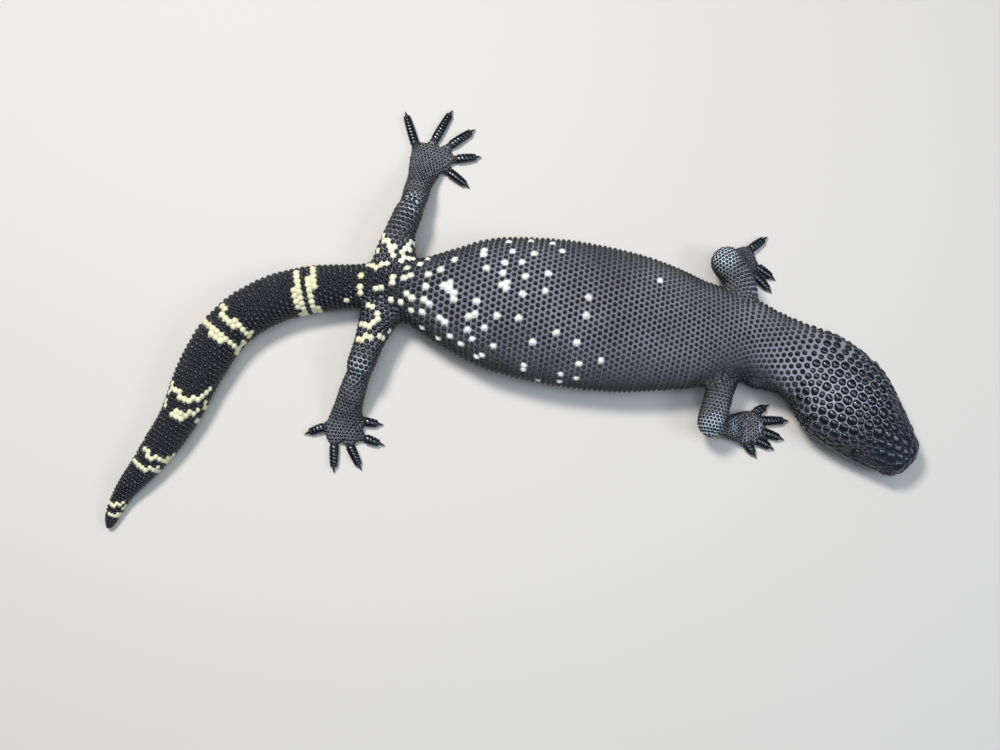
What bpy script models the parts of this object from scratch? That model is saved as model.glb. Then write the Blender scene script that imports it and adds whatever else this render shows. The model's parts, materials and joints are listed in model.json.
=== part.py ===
# Guatemalan beaded lizard, a still life-size model lying on its belly, head to the right and tail curled back.
# Run with: blender --background --python part.py
# Blender units are metres. The tables below are in millimetres and are scaled by MM where a shape is made.
import bisect
import math
import random

import bmesh
import bpy
from mathutils import Vector

MM = 0.001
GAP = 0.3
SEED = 11

# Beads: spacing from centre to centre, height of a bead, and how much of it lies under the smooth outline
BODY_BEAD_PITCH = 8.2
TAIL_BEAD_PITCH = 7.5
NECK_BEAD_PITCH = 7.5
LIMB_BEAD_PITCH = 7.7
HEAD_BEAD_PITCH = 9.0
BEAD_RISE = 1.5
BEAD_SUNK = 0.6
BEAD_SPREAD = 0.15

# Cross sections: samples used to space columns evenly, and the exponent of the section (2 is an ellipse)
SAMPLES = 96
SQUARENESS = 2.2

# Head: where the snout ends, which way it points, and its rows, each with the distance behind the snout tip,
# the height of the widest line, the half width, the rise to the crown and the drop to the chin
SNOUT_TIP = (228.4, -92.0)
HEAD_TURN = math.radians(-46.5)
SNOUT_BLUNTNESS = 8.0
HEAD_ROWS = (
    (0.0, 15.0, 12.6, 8.6, 7.6),
    (11.6, 15.5, 16.2, 11.4, 9.0),
    (23.0, 16.0, 20.4, 15.0, 9.8),
    (32.5, 16.5, 23.6, 17.8, 10.6),
    (46.0, 17.0, 27.2, 20.4, 11.6),
    (58.0, 17.5, 28.6, 20.6, 12.6),
    (74.0, 18.0, 25.6, 19.2, 13.4),
)

# Mouth line from the snout to the corner of the jaw, as distance behind the snout tip and height
MOUTH_LINE = ((-4.0, 12.0), (8.0, 12.4), (22.0, 13.2), (36.0, 14.6), (44.0, 16.8))
JAW_BACK = 47.0

# Eyes, nostrils and ears: distance behind the snout tip and turn down from the crown
EYE_PLACE = (28.0, 62.0)
EYE_RADIUS = 2.7
EYE_SUNK = 1.5
LID_RADIUS = 3.5
LID_THICKNESS = 0.9
NOSTRIL_PLACE = (6.5, 72.0)
NOSTRIL_RADIUS = 1.3
NOSTRIL_DEPTH = 2.2
EAR_PLACE = (61.0, 76.0)
EAR_SIZE = (1.3, 3.6, 2.0)

# Head scutes: where their rows start and end behind the snout tip, how far they reach down each side,
# and their width at the snout and at the back
SCUTE_SPAN = (8.0, 50.0)
SCUTE_REACH = 58.0
SCUTE_WIDTHS = (9.0, 7.2)
SCUTE_RISE = 1.1
SCUTE_ROOT = 1.6
SCUTE_SIDES = 6
LABIAL_COUNT = 6
LABIAL_SIZE = (7.2, 4.2)
LABIAL_OFFSET = 2.6
LABIAL_START = 3.2
LABIAL_RISE = 0.6

# Body and tail, nape to tail tip: x, y, height of the widest line, half width, rise above it, drop below it.
# A drop past the floor leaves a flat of that row's width on the floor.
BODY_ROWS = (
    (169.0, -33.3, 18.5, 23.5, 18.0, 14.6),
    (150.3, -24.8, 18.5, 22.8, 18.6, 17.8),
    (136.0, -18.6, 18.5, 24.2, 20.6, 20.4),
    (124.6, -16.4, 18.5, 27.0, 22.4, 21.6),
    (102.0, -14.2, 18.5, 33.6, 25.6, 22.2),
    (74.4, -9.6, 18.8, 40.0, 28.0, 23.4),
    (41.3, -4.6, 19.0, 42.9, 29.0, 24.0),
    (8.1, 0.4, 19.0, 41.4, 29.0, 24.0),
    (-13.9, 3.6, 18.5, 37.8, 27.6, 23.0),
    (-36.0, 6.4, 17.8, 29.0, 24.6, 21.4),
    (-57.8, 10.2, 16.8, 18.6, 20.2, 19.6),
    (-73.2, 13.0, 15.2, 15.0, 16.6, 17.4),
    (-89.7, 14.2, 14.0, 13.2, 14.2, 15.8),
    (-117.2, 12.1, 13.6, 14.2, 13.6, 15.6),
    (-139.3, 6.4, 13.5, 14.2, 13.5, 15.5),
    (-154.9, -2.3, 13.5, 14.2, 13.5, 15.5),
    (-167.9, -14.8, 13.4, 14.1, 13.4, 15.4),
    (-178.9, -33.0, 12.8, 13.5, 12.8, 14.8),
    (-191.2, -61.4, 11.3, 11.5, 11.2, 13.0),
    (-208.0, -87.2, 9.2, 9.1, 9.0, 10.6),
    (-224.2, -107.9, 6.2, 6.0, 6.0, 7.2),
    (-229.3, -118.2, 4.6, 4.9, 4.5, 5.4),
    (-232.4, -127.8, 2.8, 2.9, 2.8, 3.3),
)
TAIL_TIP_BLUNTNESS = 5.0

# Lengths of the body and tail, each with the distance behind the snout where it starts and its bead spacing
NAPE_END = 86.0
LENGTHS = (
    ("neck", NAPE_END, NECK_BEAD_PITCH),
    ("torso_shoulders", 113.0, BODY_BEAD_PITCH),
    ("torso_chest", 160.0, BODY_BEAD_PITCH),
    ("torso_belly", 213.0, BODY_BEAD_PITCH),
    ("torso_hips", 274.0, BODY_BEAD_PITCH),
    ("tail_root", 345.0, TAIL_BEAD_PITCH),
    ("tail_bend", 405.0, TAIL_BEAD_PITCH),
    ("tail_taper", 464.0, TAIL_BEAD_PITCH),
    ("tail_end", 522.0, TAIL_BEAD_PITCH),
)

# Pale rings round the tail, in pairs, as distances behind the snout tip, and how near one a bead turns pale
TAIL_RINGS = (373.3, 382.3, 427.6, 436.7, 476.9, 485.1, 512.0, 520.0, 549.7, 555.4)
RING_REACH = 3.2

# Legs: rows as for the body. Each lower leg starts inside the knee or elbow and runs on as the palm.
# Digits run from where they leave the palm to the tip of the claw.
LEGS = {
    "hind_left": {
        "upper": (
            (-68.0, 14.0, 16.5, 15.0, 13.5, 15.0),
            (-67.2, 30.0, 18.0, 13.2, 12.0, 13.0),
            (-64.5, 44.0, 19.3, 9.8, 10.0, 10.5),
            (-59.6, 57.0, 20.2, 9.1, 9.2, 9.6),
            (-56.8, 65.5, 19.0, 9.0, 9.0, 9.0),
        ),
        "lower": (
            (-58.8, 58.5, 18.0, 7.4, 7.4, 7.4),
            (-55.8, 70.0, 14.6, 8.3, 7.8, 8.0),
            (-53.4, 81.0, 8.8, 8.6, 6.0, 9.4),
            (-50.8, 90.0, 5.6, 11.0, 4.4, 7.0),
            (-47.6, 98.0, 4.4, 13.0, 3.4, 5.6),
            (-46.0, 104.0, 3.4, 11.5, 2.6, 4.4),
        ),
        "ankle": 26.0,
        "digits": (
            ((-38.6, 89.4), (-23.9, 78.0)),
            ((-34.6, 95.6), (-16.7, 97.8)),
            ((-37.6, 103.4), (-20.4, 115.5)),
            ((-46.6, 106.0), (-34.5, 127.9)),
            ((-56.6, 103.0), (-63.9, 127.1)),
        ),
    },
    "hind_right": {
        "upper": (
            (-69.0, 8.0, 16.5, 14.0, 13.5, 15.0),
            (-76.3, -6.0, 18.0, 11.6, 12.0, 12.6),
            (-81.8, -21.0, 19.3, 9.0, 9.8, 10.2),
            (-85.6, -33.0, 20.2, 8.7, 9.2, 9.6),
            (-88.4, -42.0, 18.8, 8.7, 9.0, 9.0),
        ),
        "lower": (
            (-86.0, -35.5, 17.6, 7.2, 7.2, 7.2),
            (-90.6, -46.0, 14.0, 8.1, 7.6, 8.0),
            (-94.2, -56.0, 8.6, 8.7, 6.0, 9.2),
            (-96.0, -63.0, 5.6, 10.4, 4.4, 7.0),
            (-96.9, -70.0, 4.4, 12.0, 3.4, 5.6),
            (-97.0, -76.0, 3.4, 10.6, 2.6, 4.4),
        ),
        "ankle": 24.5,
        "digits": (
            ((-87.2, -64.0), (-73.8, -66.1)),
            ((-86.8, -73.4), (-73.0, -78.2)),
            ((-94.4, -76.4), (-86.5, -93.0)),
            ((-102.6, -75.6), (-102.7, -94.5)),
            ((-106.4, -66.6), (-120.9, -71.8)),
        ),
    },
    "front_left": {
        "upper": (
            (131.0, -6.0, 19.0, 11.0, 11.5, 13.0),
            (135.2, 7.0, 20.4, 9.9, 9.6, 10.2),
            (132.0, 18.0, 20.4, 9.6, 9.6, 9.8),
            (126.8, 27.0, 19.4, 10.2, 10.2, 10.0),
            (122.0, 35.4, 18.6, 9.9, 9.8, 10.0),
        ),
        "lower": (
            (128.4, 26.5, 13.4, 6.8, 6.6, 6.6),
            (134.0, 29.5, 10.4, 8.0, 6.4, 8.0),
            (138.6, 31.0, 6.6, 9.8, 4.6, 8.0),
            (143.8, 32.2, 4.2, 10.2, 3.2, 5.4),
            (147.0, 32.8, 3.2, 8.6, 2.4, 4.2),
        ),
        "ankle": 10.5,
        "digits": (
            ((140.5, 25.4), (142.5, 14.5)),
            ((143.8, 26.6), (156.6, 12.8)),
            ((146.0, 30.2), (159.1, 20.6)),
            ((142.6, 38.4), (155.5, 48.1)),
            ((136.4, 36.0), (124.5, 36.4)),
        ),
    },
    "front_right": {
        "upper": (
            (126.0, -24.0, 19.0, 11.0, 11.5, 13.0),
            (123.0, -38.0, 20.2, 9.6, 9.8, 10.2),
            (119.0, -53.0, 20.2, 8.8, 9.2, 9.6),
            (115.8, -66.0, 19.2, 9.5, 9.8, 9.6),
            (114.0, -75.4, 18.6, 9.3, 9.4, 9.4),
        ),
        "lower": (
            (119.4, -67.0, 13.6, 6.6, 6.6, 6.6),
            (127.0, -67.8, 10.6, 7.4, 6.2, 8.0),
            (132.6, -68.2, 6.8, 9.4, 4.6, 8.0),
            (138.6, -68.2, 4.8, 11.4, 3.6, 6.0),
            (144.6, -67.6, 3.4, 10.2, 2.6, 4.4),
        ),
        "ankle": 13.0,
        "digits": (
            ((141.6, -60.0), (152.9, -53.8)),
            ((145.6, -63.8), (163.9, -63.5)),
            ((145.4, -69.4), (160.9, -75.0)),
            ((142.4, -74.0), (154.9, -80.9)),
            ((136.8, -75.4), (144.2, -86.0)),
        ),
    },
}
KNEE_BLUNTNESS = 9.0
DIGIT_HALF_WIDTH = 2.7
DIGIT_TIP_HALF_WIDTH = 2.15
DIGIT_PLATES = 3
DIGIT_PLATE_RISE = 0.25
DIGIT_SIDES = 6
CLAW_LENGTH = 3.6
CLAW_HALF_WIDTH = 1.15
CLAW_SIDES = 6

HIDE = {"colour": (0.017, 0.018, 0.022), "roughness": 0.42}
PALE_BEAD = {"colour": (0.78, 0.68, 0.42), "roughness": 0.45}
CLAW = {"colour": (0.035, 0.024, 0.018), "roughness": 0.3}
EYE = {"colour": (0.008, 0.006, 0.005), "roughness": 0.06}


def clear_scene():
    for obj in list(bpy.data.objects):
        bpy.data.objects.remove(obj, do_unlink=True)


def new_collection(name):
    collection = bpy.data.collections.new(name)
    bpy.context.scene.collection.children.link(collection)
    return collection


def material(name, finish):
    made = bpy.data.materials.new(name)
    made.use_nodes = True
    shader = made.node_tree.nodes["Principled BSDF"]
    shader.inputs["Base Color"].default_value = (*finish["colour"], 1.0)
    shader.inputs["Roughness"].default_value = finish["roughness"]
    shader.inputs["Metallic"].default_value = 0.0
    return made


def head_row(behind, height, half, rise, drop):
    """One row of the body's track, placed behind the snout tip on the head's straight axis."""
    x = SNOUT_TIP[0] - behind * math.cos(HEAD_TURN)
    y = SNOUT_TIP[1] - behind * math.sin(HEAD_TURN)
    return (x, y, height, half, rise, drop)


class Track:
    """A smooth path of cross sections through rows of x, y, z, half width, rise and drop."""

    def __init__(self, rows, blunt_start=0.0, blunt_end=0.0):
        self.rows = rows
        self.blunt_start = blunt_start
        self.blunt_end = blunt_end
        self.places = [0.0]
        for before, after in zip(rows, rows[1:]):
            self.places.append(self.places[-1] + math.dist(before[:3], after[:3]))
        self.length = self.places[-1]
        self.slopes = [self.slope(k) for k in range(len(rows))]

    def slope(self, k):
        """How fast each value changes at row k: the mean of the two sides, the nearer one weighing more."""
        rows, places = self.rows, self.places
        low, high = max(k - 1, 0), min(k + 1, len(rows) - 1)
        if high - low == 1:
            return [(b - a) / (places[high] - places[low]) for a, b in zip(rows[low], rows[high])]
        before, after = places[k] - places[low], places[high] - places[k]
        return [
            ((m - a) / before * after + (b - m) / after * before) / (before + after)
            for a, m, b in zip(rows[low], rows[k], rows[high])
        ]

    def values(self, s):
        """The row's values at distance s, and the direction of the path there."""
        k = max(0, min(len(self.rows) - 2, bisect.bisect_right(self.places, s) - 1))
        span = self.places[k + 1] - self.places[k]
        t = (s - self.places[k]) / span
        a, b = self.rows[k], self.rows[k + 1]
        u, v = self.slopes[k], self.slopes[k + 1]
        row = [
            (2 * t**3 - 3 * t**2 + 1) * a[i]
            + (t**3 - 2 * t**2 + t) * span * u[i]
            + (3 * t**2 - 2 * t**3) * b[i]
            + (t**3 - t**2) * span * v[i]
            for i in range(6)
        ]
        ahead = Vector(
            [
                (6 * t**2 - 6 * t) * (a[i] - b[i]) / span
                + (3 * t**2 - 4 * t + 1) * u[i]
                + (3 * t**2 - 2 * t) * v[i]
                for i in range(3)
            ]
        ).normalized()
        return row, ahead

    def fullness(self, s):
        """1 along the path, falling on a quarter circle to nothing at a blunt end."""
        full = 1.0
        for blunt, left in ((self.blunt_start, s), (self.blunt_end, self.length - s)):
            if blunt and left < blunt:
                full *= math.sqrt(max(0.0, 1 - (1 - left / blunt) ** 2))
        return full

    def section(self, s, turn, grow=0.0):
        """A point of the section at s. The turn is 0 at the top and +-pi at the underside."""
        (x, y, z, half, rise, drop), ahead = self.values(s)
        full = self.fullness(s)
        side = Vector((-ahead.y, ahead.x, 0)).normalized()
        up = ahead.cross(side)
        sine, cosine = math.sin(turn), math.cos(turn)
        out = math.copysign(abs(sine) ** (2 / SQUARENESS), sine) * (half * full + grow)
        height = rise if cosine > 0 else drop
        lift = math.copysign(abs(cosine) ** (2 / SQUARENESS), cosine) * (height * full + grow)
        point = Vector((x, y, z)) + side * out + up * lift
        point.z = max(point.z, -grow)
        return point


class Ring:
    """The section at s, with places round it given in columns that are evenly spaced on the beaded part."""

    FLAT_SHARE = 0.16
    UNDER_SHARE = 0.5
    UNDER_FROM = 0.74

    def __init__(self, track, s, columns, grow=0.0):
        self.columns = columns
        turns = [2 * math.pi * k / SAMPLES - math.pi for k in range(SAMPLES + 1)]
        self.points = [track.section(s, turn, grow) for turn in turns]
        self.ahead = track.values(s)[1]
        self.middle = sum(self.points[1:], Vector()) / SAMPLES
        self.reach = [0.0]
        for a, b, turn in zip(self.points, self.points[1:], turns):
            share = 1.0
            if abs(turn + math.pi / SAMPLES) > self.UNDER_FROM * math.pi:
                share = self.UNDER_SHARE
            if a.z <= 0 and b.z <= 0:
                share = self.FLAT_SHARE
            self.reach.append(self.reach[-1] + max((b - a).length * share, 1e-6))

    def at(self, column):
        """The point at a column, and the way out of the surface there."""
        target = (column % self.columns) / self.columns * self.reach[-1]
        k = max(0, min(SAMPLES - 1, bisect.bisect_right(self.reach, target) - 1))
        t = (target - self.reach[k]) / (self.reach[k + 1] - self.reach[k])
        a, b = self.points[k], self.points[k + 1]
        low, high = self.points[max(k - 1, 0)], self.points[min(k + 2, SAMPLES)]
        out = (high - low).cross(self.ahead).normalized()
        point = a.lerp(b, t)
        if out.dot(point - self.middle) < 0:
            out.negate()
        return point, out


def mesh_object(name, points, faces, collection, finishes):
    mesh = bpy.data.meshes.new(name)
    mesh.from_pydata([tuple(MM * value for value in point) for point in points], [], faces)
    builder = bmesh.new()
    builder.from_mesh(mesh)
    bmesh.ops.recalc_face_normals(builder, faces=builder.faces)
    builder.to_mesh(mesh)
    builder.free()
    obj = bpy.data.objects.new(name, mesh)
    for finish in finishes:
        mesh.materials.append(finish)
    collection.objects.link(obj)
    return obj


def smoothstep(low, high, value):
    t = max(0.0, min(1.0, (value - low) / (high - low)))
    return t * t * (3 - 2 * t)


def near_ring(s):
    return any(abs(s - ring) < RING_REACH for ring in TAIL_RINGS)


def beaded_tube(name, track, start, end, pitch, rise, collection, finishes, calm=None):
    """A closed length of a track whose surface rises into a bead at each point of a hexagonal grid."""
    chance = random.Random(f"{SEED}-{name}")
    middle = Ring(track, (start + end) / 2, 1)
    columns = max(6, round(middle.reach[-1] / pitch))
    rows = max(1, round((end - start) / (pitch * 0.866) - 1 / 3))
    step = (end - start) / (rows * 3 + 1)
    points, index = [], {}

    def vertex(ring_number, half_column):
        half_column %= 2 * columns
        key = (ring_number, half_column)
        if key in index:
            return index[key]
        ring = rings[ring_number]
        point, out = ring.at(half_column / 2)
        is_bead = ring_number % 3 == 2 and (half_column - (ring_number - 2) // 3) % 2 == 0
        lift = rise * (1 - BEAD_SUNK if is_bead else -BEAD_SUNK)
        if is_bead:
            lift *= 1 + chance.uniform(-BEAD_SPREAD, BEAD_SPREAD)
        ends = 0.0 if ring_number in (0, rows * 3 + 1) else 1.0
        shown = smoothstep(-0.75, -0.35, out.z) * smoothstep(0.5, 3.0, point.z) * ends
        if calm:
            shown *= calm(point)
        point = point + (out - ring.ahead * out.dot(ring.ahead)) * lift * shown
        point.z = max(point.z, 0.0)
        index[key] = len(points)
        points.append(point)
        return index[key]

    rings = [Ring(track, start + number * step, columns) for number in range(rows * 3 + 2)]
    faces, pale_faces = [], []
    for row in range(rows):
        low = 3 * row
        for column in range(row % 2, 2 * columns, 2):
            top = vertex(low + 2, column)
            corners = [
                vertex(low, column),
                vertex(low + 1, column + 1),
                vertex(low + 3, column + 1),
                vertex(low + 4, column),
                vertex(low + 3, column - 1),
                vertex(low + 1, column - 1),
            ]
            for a, b in zip(corners, corners[1:] + corners[:1]):
                faces.append((top, a, b))
                pale_faces.append(near_ring(start + (low + 2) * step))
    last = rows * 3 + 1
    parity = (rows - 1) % 2
    for column in range(0, 2 * columns, 2):
        faces.append((vertex(0, column), vertex(0, column + 2), vertex(1, column + 1)))
        edge = column + parity
        faces.append((vertex(last, edge), vertex(last - 1, edge + 1), vertex(last, edge + 2)))
    faces.append([vertex(0, column) for column in range(0, 2 * columns, 2)])
    faces.append([vertex(last, column + parity) for column in range(0, 2 * columns, 2)])
    obj = mesh_object(name, points, faces, collection, finishes)
    for polygon, is_pale in zip(obj.data.polygons, pale_faces):
        polygon.material_index = 1 if is_pale else 0
    return obj


def plain_tube(name, track, places, sides, collection, finishes, grow=0.0, swell=None):
    """A closed length of a track with one ring of points at each place, swollen there where swell says so."""
    points, faces = [], []
    for number, place in enumerate(places):
        extra = grow + (swell(number) if swell else 0.0)
        for k in range(sides):
            turn = 2 * math.pi * (k + 0.5) / sides - math.pi
            point = track.section(place, turn, extra)
            if not grow:
                point.z = max(point.z, 0.0)
            points.append(point)
    for number in range(len(places) - 1):
        low, high = number * sides, (number + 1) * sides
        for k in range(sides):
            after = (k + 1) % sides
            faces.append((low + k, low + after, high + after, high + k))
    faces.append(list(range(sides)))
    faces.append(list(range(len(points) - sides, len(points))))
    return mesh_object(name, points, faces, collection, finishes)


def evenly(start, end, spacing):
    count = max(1, round((end - start) / spacing))
    return [start + (end - start) * k / count for k in range(count + 1)]


def keep_largest(mesh):
    """Deletes all but the closed surface with the most faces."""
    builder = bmesh.new()
    builder.from_mesh(mesh)
    left, shells = set(builder.faces), []
    while left:
        shell, edge = set(), [left.pop()]
        while edge:
            face = edge.pop()
            shell.add(face)
            for near in {f for e in face.edges for f in e.link_faces} & left:
                left.discard(near)
                edge.append(near)
        shells.append(shell)
    shells.sort(key=len)
    loose = [face for shell in shells[:-1] for face in shell]
    bmesh.ops.delete(builder, geom=loose, context="FACES")
    builder.to_mesh(mesh)
    builder.free()


def boolean(target, others, operation):
    """Joins the closed objects in others to the target, or cuts or keeps what they cover, and removes them."""
    group = bpy.data.collections.new("group")
    bpy.context.scene.collection.children.link(group)
    for other in others:
        for holder in list(other.users_collection):
            holder.objects.unlink(other)
        group.objects.link(other)
    modifier = target.modifiers.new(operation.title(), "BOOLEAN")
    modifier.operation = operation
    modifier.solver = "EXACT"
    modifier.operand_type = "COLLECTION"
    modifier.collection = group
    graph = bpy.context.evaluated_depsgraph_get()
    mesh = bpy.data.meshes.new_from_object(target.evaluated_get(graph), depsgraph=graph)
    target.modifiers.remove(modifier)
    target.data = mesh
    for other in list(group.objects):
        bpy.data.objects.remove(other, do_unlink=True)
    bpy.data.collections.remove(group)
    keep_largest(mesh)


def body_cutter(track, near, collection):
    """The body's outline grown by the gap, for a stretch either side of a place."""
    reach = 45.0
    places = evenly(near - reach, near + reach, 3.0)
    return plain_tube("body_cutter", track, places, 60, collection, [], grow=GAP + 0.1)


def nearest_place(track, x, y):
    places = evenly(0.0, track.length, 2.0)
    return min(places, key=lambda s: math.dist(track.values(s)[0][:2], (x, y)))


def calm_near(tracks):
    """1 away from the given legs, and 0 where one of them leaves the body."""
    stems = []
    for track in tracks:
        for place in evenly(0.0, track.length * 0.7, 3.0):
            row, _ = track.values(place)
            stems.append((Vector(row[:3]), max(row[3:])))

    def calm(point):
        return min(smoothstep(0.5, 5.0, (point - centre).length - radius) for centre, radius in stems)

    return calm


def head_surface(body, behind, turn):
    """A point on the head, and the ways out of it, forward along it and up across it."""
    step = 0.4
    point = body.section(behind, turn)
    forward = (body.section(behind - step, turn) - body.section(behind + step, turn)).normalized()
    across = (body.section(behind, turn + 0.05) - body.section(behind, turn - 0.05)).normalized()
    out = forward.cross(across).normalized()
    if out.dot(point - Vector(body.values(behind)[0][:3])) < 0:
        out.negate()
    return point, out, forward, out.cross(forward)


def turn_at_height(body, behind, height, side):
    """The turn at which one side of the head reaches a height."""
    low, high = 0.1, math.pi - 0.1
    for _ in range(30):
        middle = (low + high) / 2
        if body.section(behind, side * middle).z > height:
            low = middle
        else:
            high = middle
    return side * low


def scute(place, length, width, rise, collection, finishes):
    """A low many-sided dome with its root sunk under the surface it grows from."""
    point, out, forward, across = place
    points = []
    for share, lift in ((0.5, -SCUTE_ROOT), (0.47, rise * 0.35)):
        for k in range(SCUTE_SIDES):
            turn = 2 * math.pi * k / SCUTE_SIDES
            spread = forward * math.cos(turn) * length + across * math.sin(turn) * width
            points.append(point + spread * share + out * lift)
    points.append(point + out * rise)
    top = len(points) - 1
    faces = [list(range(SCUTE_SIDES))]
    for k in range(SCUTE_SIDES):
        after = (k + 1) % SCUTE_SIDES
        faces.append((k, after, SCUTE_SIDES + after, SCUTE_SIDES + k))
        faces.append((SCUTE_SIDES + k, SCUTE_SIDES + after, top))
    return mesh_object("scute", points, faces, collection, finishes)


def crown_scutes(body, collection, finishes):
    """Staggered rows of scutes over the snout and crown, larger towards the snout."""
    chance = random.Random(SEED)
    made, behind, row = [], SCUTE_SPAN[0], 0
    while behind < SCUTE_SPAN[1]:
        share = (behind - SCUTE_SPAN[0]) / (SCUTE_SPAN[1] - SCUTE_SPAN[0])
        width = SCUTE_WIDTHS[0] + (SCUTE_WIDTHS[1] - SCUTE_WIDTHS[0]) * share
        radius = body.values(behind)[0][3] * body.fullness(behind)
        step = math.degrees(width / radius)
        half_count = int(SCUTE_REACH / step)
        for number in range(-half_count, half_count + 1):
            turn = (number + 0.5 * (row % 2)) * step
            if abs(turn) > SCUTE_REACH:
                continue
            size = width * 0.9 * (1 + chance.uniform(-0.07, 0.07))
            place = head_surface(body, behind, math.radians(turn))
            made.append(scute(place, size * 1.08, size, SCUTE_RISE, collection, finishes))
        behind += width * 0.88
        row += 1
    return made


def labial_scutes(body, collection, finishes):
    """The plates of the lips, in one row above and one below the line of the mouth on each side."""
    made = []
    for side in (-1, 1):
        for offset in (LABIAL_OFFSET, -LABIAL_OFFSET):
            for number in range(LABIAL_COUNT):
                behind = LABIAL_START + number * LABIAL_SIZE[0]
                height = mouth_height(behind) + offset
                turn = turn_at_height(body, behind, height, side)
                place = head_surface(body, behind, turn)
                made.append(
                    scute(place, LABIAL_SIZE[0] * 0.94, LABIAL_SIZE[1], LABIAL_RISE, collection, finishes)
                )
    return made


def mouth_height(behind):
    for (a, low), (b, high) in zip(MOUTH_LINE, MOUTH_LINE[1:]):
        if behind <= b:
            return low + (high - low) * (behind - a) / (b - a)
    return MOUTH_LINE[-1][1]


def ball(name, centre, axes, sizes, collection, finishes, segments=16):
    """A ball stretched by three sizes along three directions."""
    builder = bmesh.new()
    bmesh.ops.create_uvsphere(builder, u_segments=segments, v_segments=segments // 2, radius=1.0)
    points = [
        centre + axes[0] * (v.co.x * sizes[0]) + axes[1] * (v.co.y * sizes[1]) + axes[2] * (v.co.z * sizes[2])
        for v in builder.verts
    ]
    faces = [[v.index for v in face.verts] for face in builder.faces]
    builder.free()
    return mesh_object(name, points, faces, collection, finishes)


def lid_ring(place, collection, finishes, around=12, across=5):
    """The rim of the lids, a ring that stands on the head round the eye."""
    point, out, forward, up = place
    points, faces = [], []
    for k in range(around):
        turn = 2 * math.pi * k / around
        spoke = forward * math.cos(turn) + up * math.sin(turn) * 0.82
        for m in range(across):
            roll = 2 * math.pi * m / across
            lift = LID_THICKNESS * math.sin(roll)
            reach = LID_RADIUS + LID_THICKNESS * math.cos(roll)
            points.append(point + spoke * reach + out * (lift + 0.1))
    for k in range(around):
        for m in range(across):
            a, b = k * across + m, k * across + (m + 1) % across
            after = ((k + 1) % around) * across
            faces.append((a, b, after + (m + 1) % across, after + m))
    return mesh_object("lid_ring", points, faces, collection, finishes)


def jaw_block(inset, collection):
    """The space of the lower jaw: below the mouth line and in front of the corner of the jaw."""
    outline = [(behind, height - inset) for behind, height in MOUTH_LINE]
    outline += [(JAW_BACK - inset, MOUTH_LINE[-1][1] - 1.0 - inset), (JAW_BACK - inset, -5.0), (-6.0, -5.0)]
    ahead = Vector((math.cos(HEAD_TURN), math.sin(HEAD_TURN), 0))
    aside = Vector((-ahead.y, ahead.x, 0))
    points = []
    for reach in (-50.0, 50.0):
        for behind, height in outline:
            points.append(Vector((*SNOUT_TIP, height)) - ahead * behind + aside * reach)
    count = len(outline)
    faces = [list(range(count)), list(range(count, 2 * count))]
    faces += [(k, (k + 1) % count, count + (k + 1) % count, count + k) for k in range(count)]
    return mesh_object("jaw_block", points, faces, collection, [])


def make_head(body, collection, finishes, eye_finish):
    def rear_only(point):
        behind = (Vector((*SNOUT_TIP, 0)) - point).dot(Vector((math.cos(HEAD_TURN), math.sin(HEAD_TURN), 0)))
        return smoothstep(SCUTE_SPAN[1] - 4, SCUTE_SPAN[1] + 3, behind)

    head = beaded_tube(
        "head", body, 0.3, NAPE_END - GAP / 2, HEAD_BEAD_PITCH, BEAD_RISE, collection, finishes, calm=rear_only
    )
    added = crown_scutes(body, collection, finishes) + labial_scutes(body, collection, finishes)
    cutters = []
    for name, side in (("left", -1), ("right", 1)):
        eye_place = head_surface(body, EYE_PLACE[0], math.radians(EYE_PLACE[1]) * side)
        added.append(lid_ring(eye_place, collection, finishes))
        point, out, forward, up = eye_place
        centre = point - out * EYE_SUNK
        clear = [EYE_RADIUS + GAP] * 3
        ball(f"eye_{name}", centre, (forward, up, out), [EYE_RADIUS] * 3, collection, [eye_finish])
        cutters.append(ball("socket", centre, (forward, up, out), clear, collection, []))
        point, out, forward, up = head_surface(body, NOSTRIL_PLACE[0], math.radians(NOSTRIL_PLACE[1]) * side)
        sizes = (NOSTRIL_RADIUS * 1.3, NOSTRIL_RADIUS, NOSTRIL_DEPTH)
        cutters.append(ball("nostril", point, (forward, up, out), sizes, collection, [], segments=10))
        point, out, forward, up = head_surface(body, EAR_PLACE[0], math.radians(EAR_PLACE[1]) * side)
        cutters.append(ball("ear", point, (forward, up, out), EAR_SIZE, collection, [], segments=12))
    boolean(head, added, "UNION")
    boolean(head, cutters, "DIFFERENCE")
    jaw = bpy.data.objects.new("lower_jaw", head.data.copy())
    collection.objects.link(jaw)
    boolean(jaw, [jaw_block(GAP, collection)], "INTERSECT")
    boolean(head, [jaw_block(0.0, collection)], "DIFFERENCE")


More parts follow.
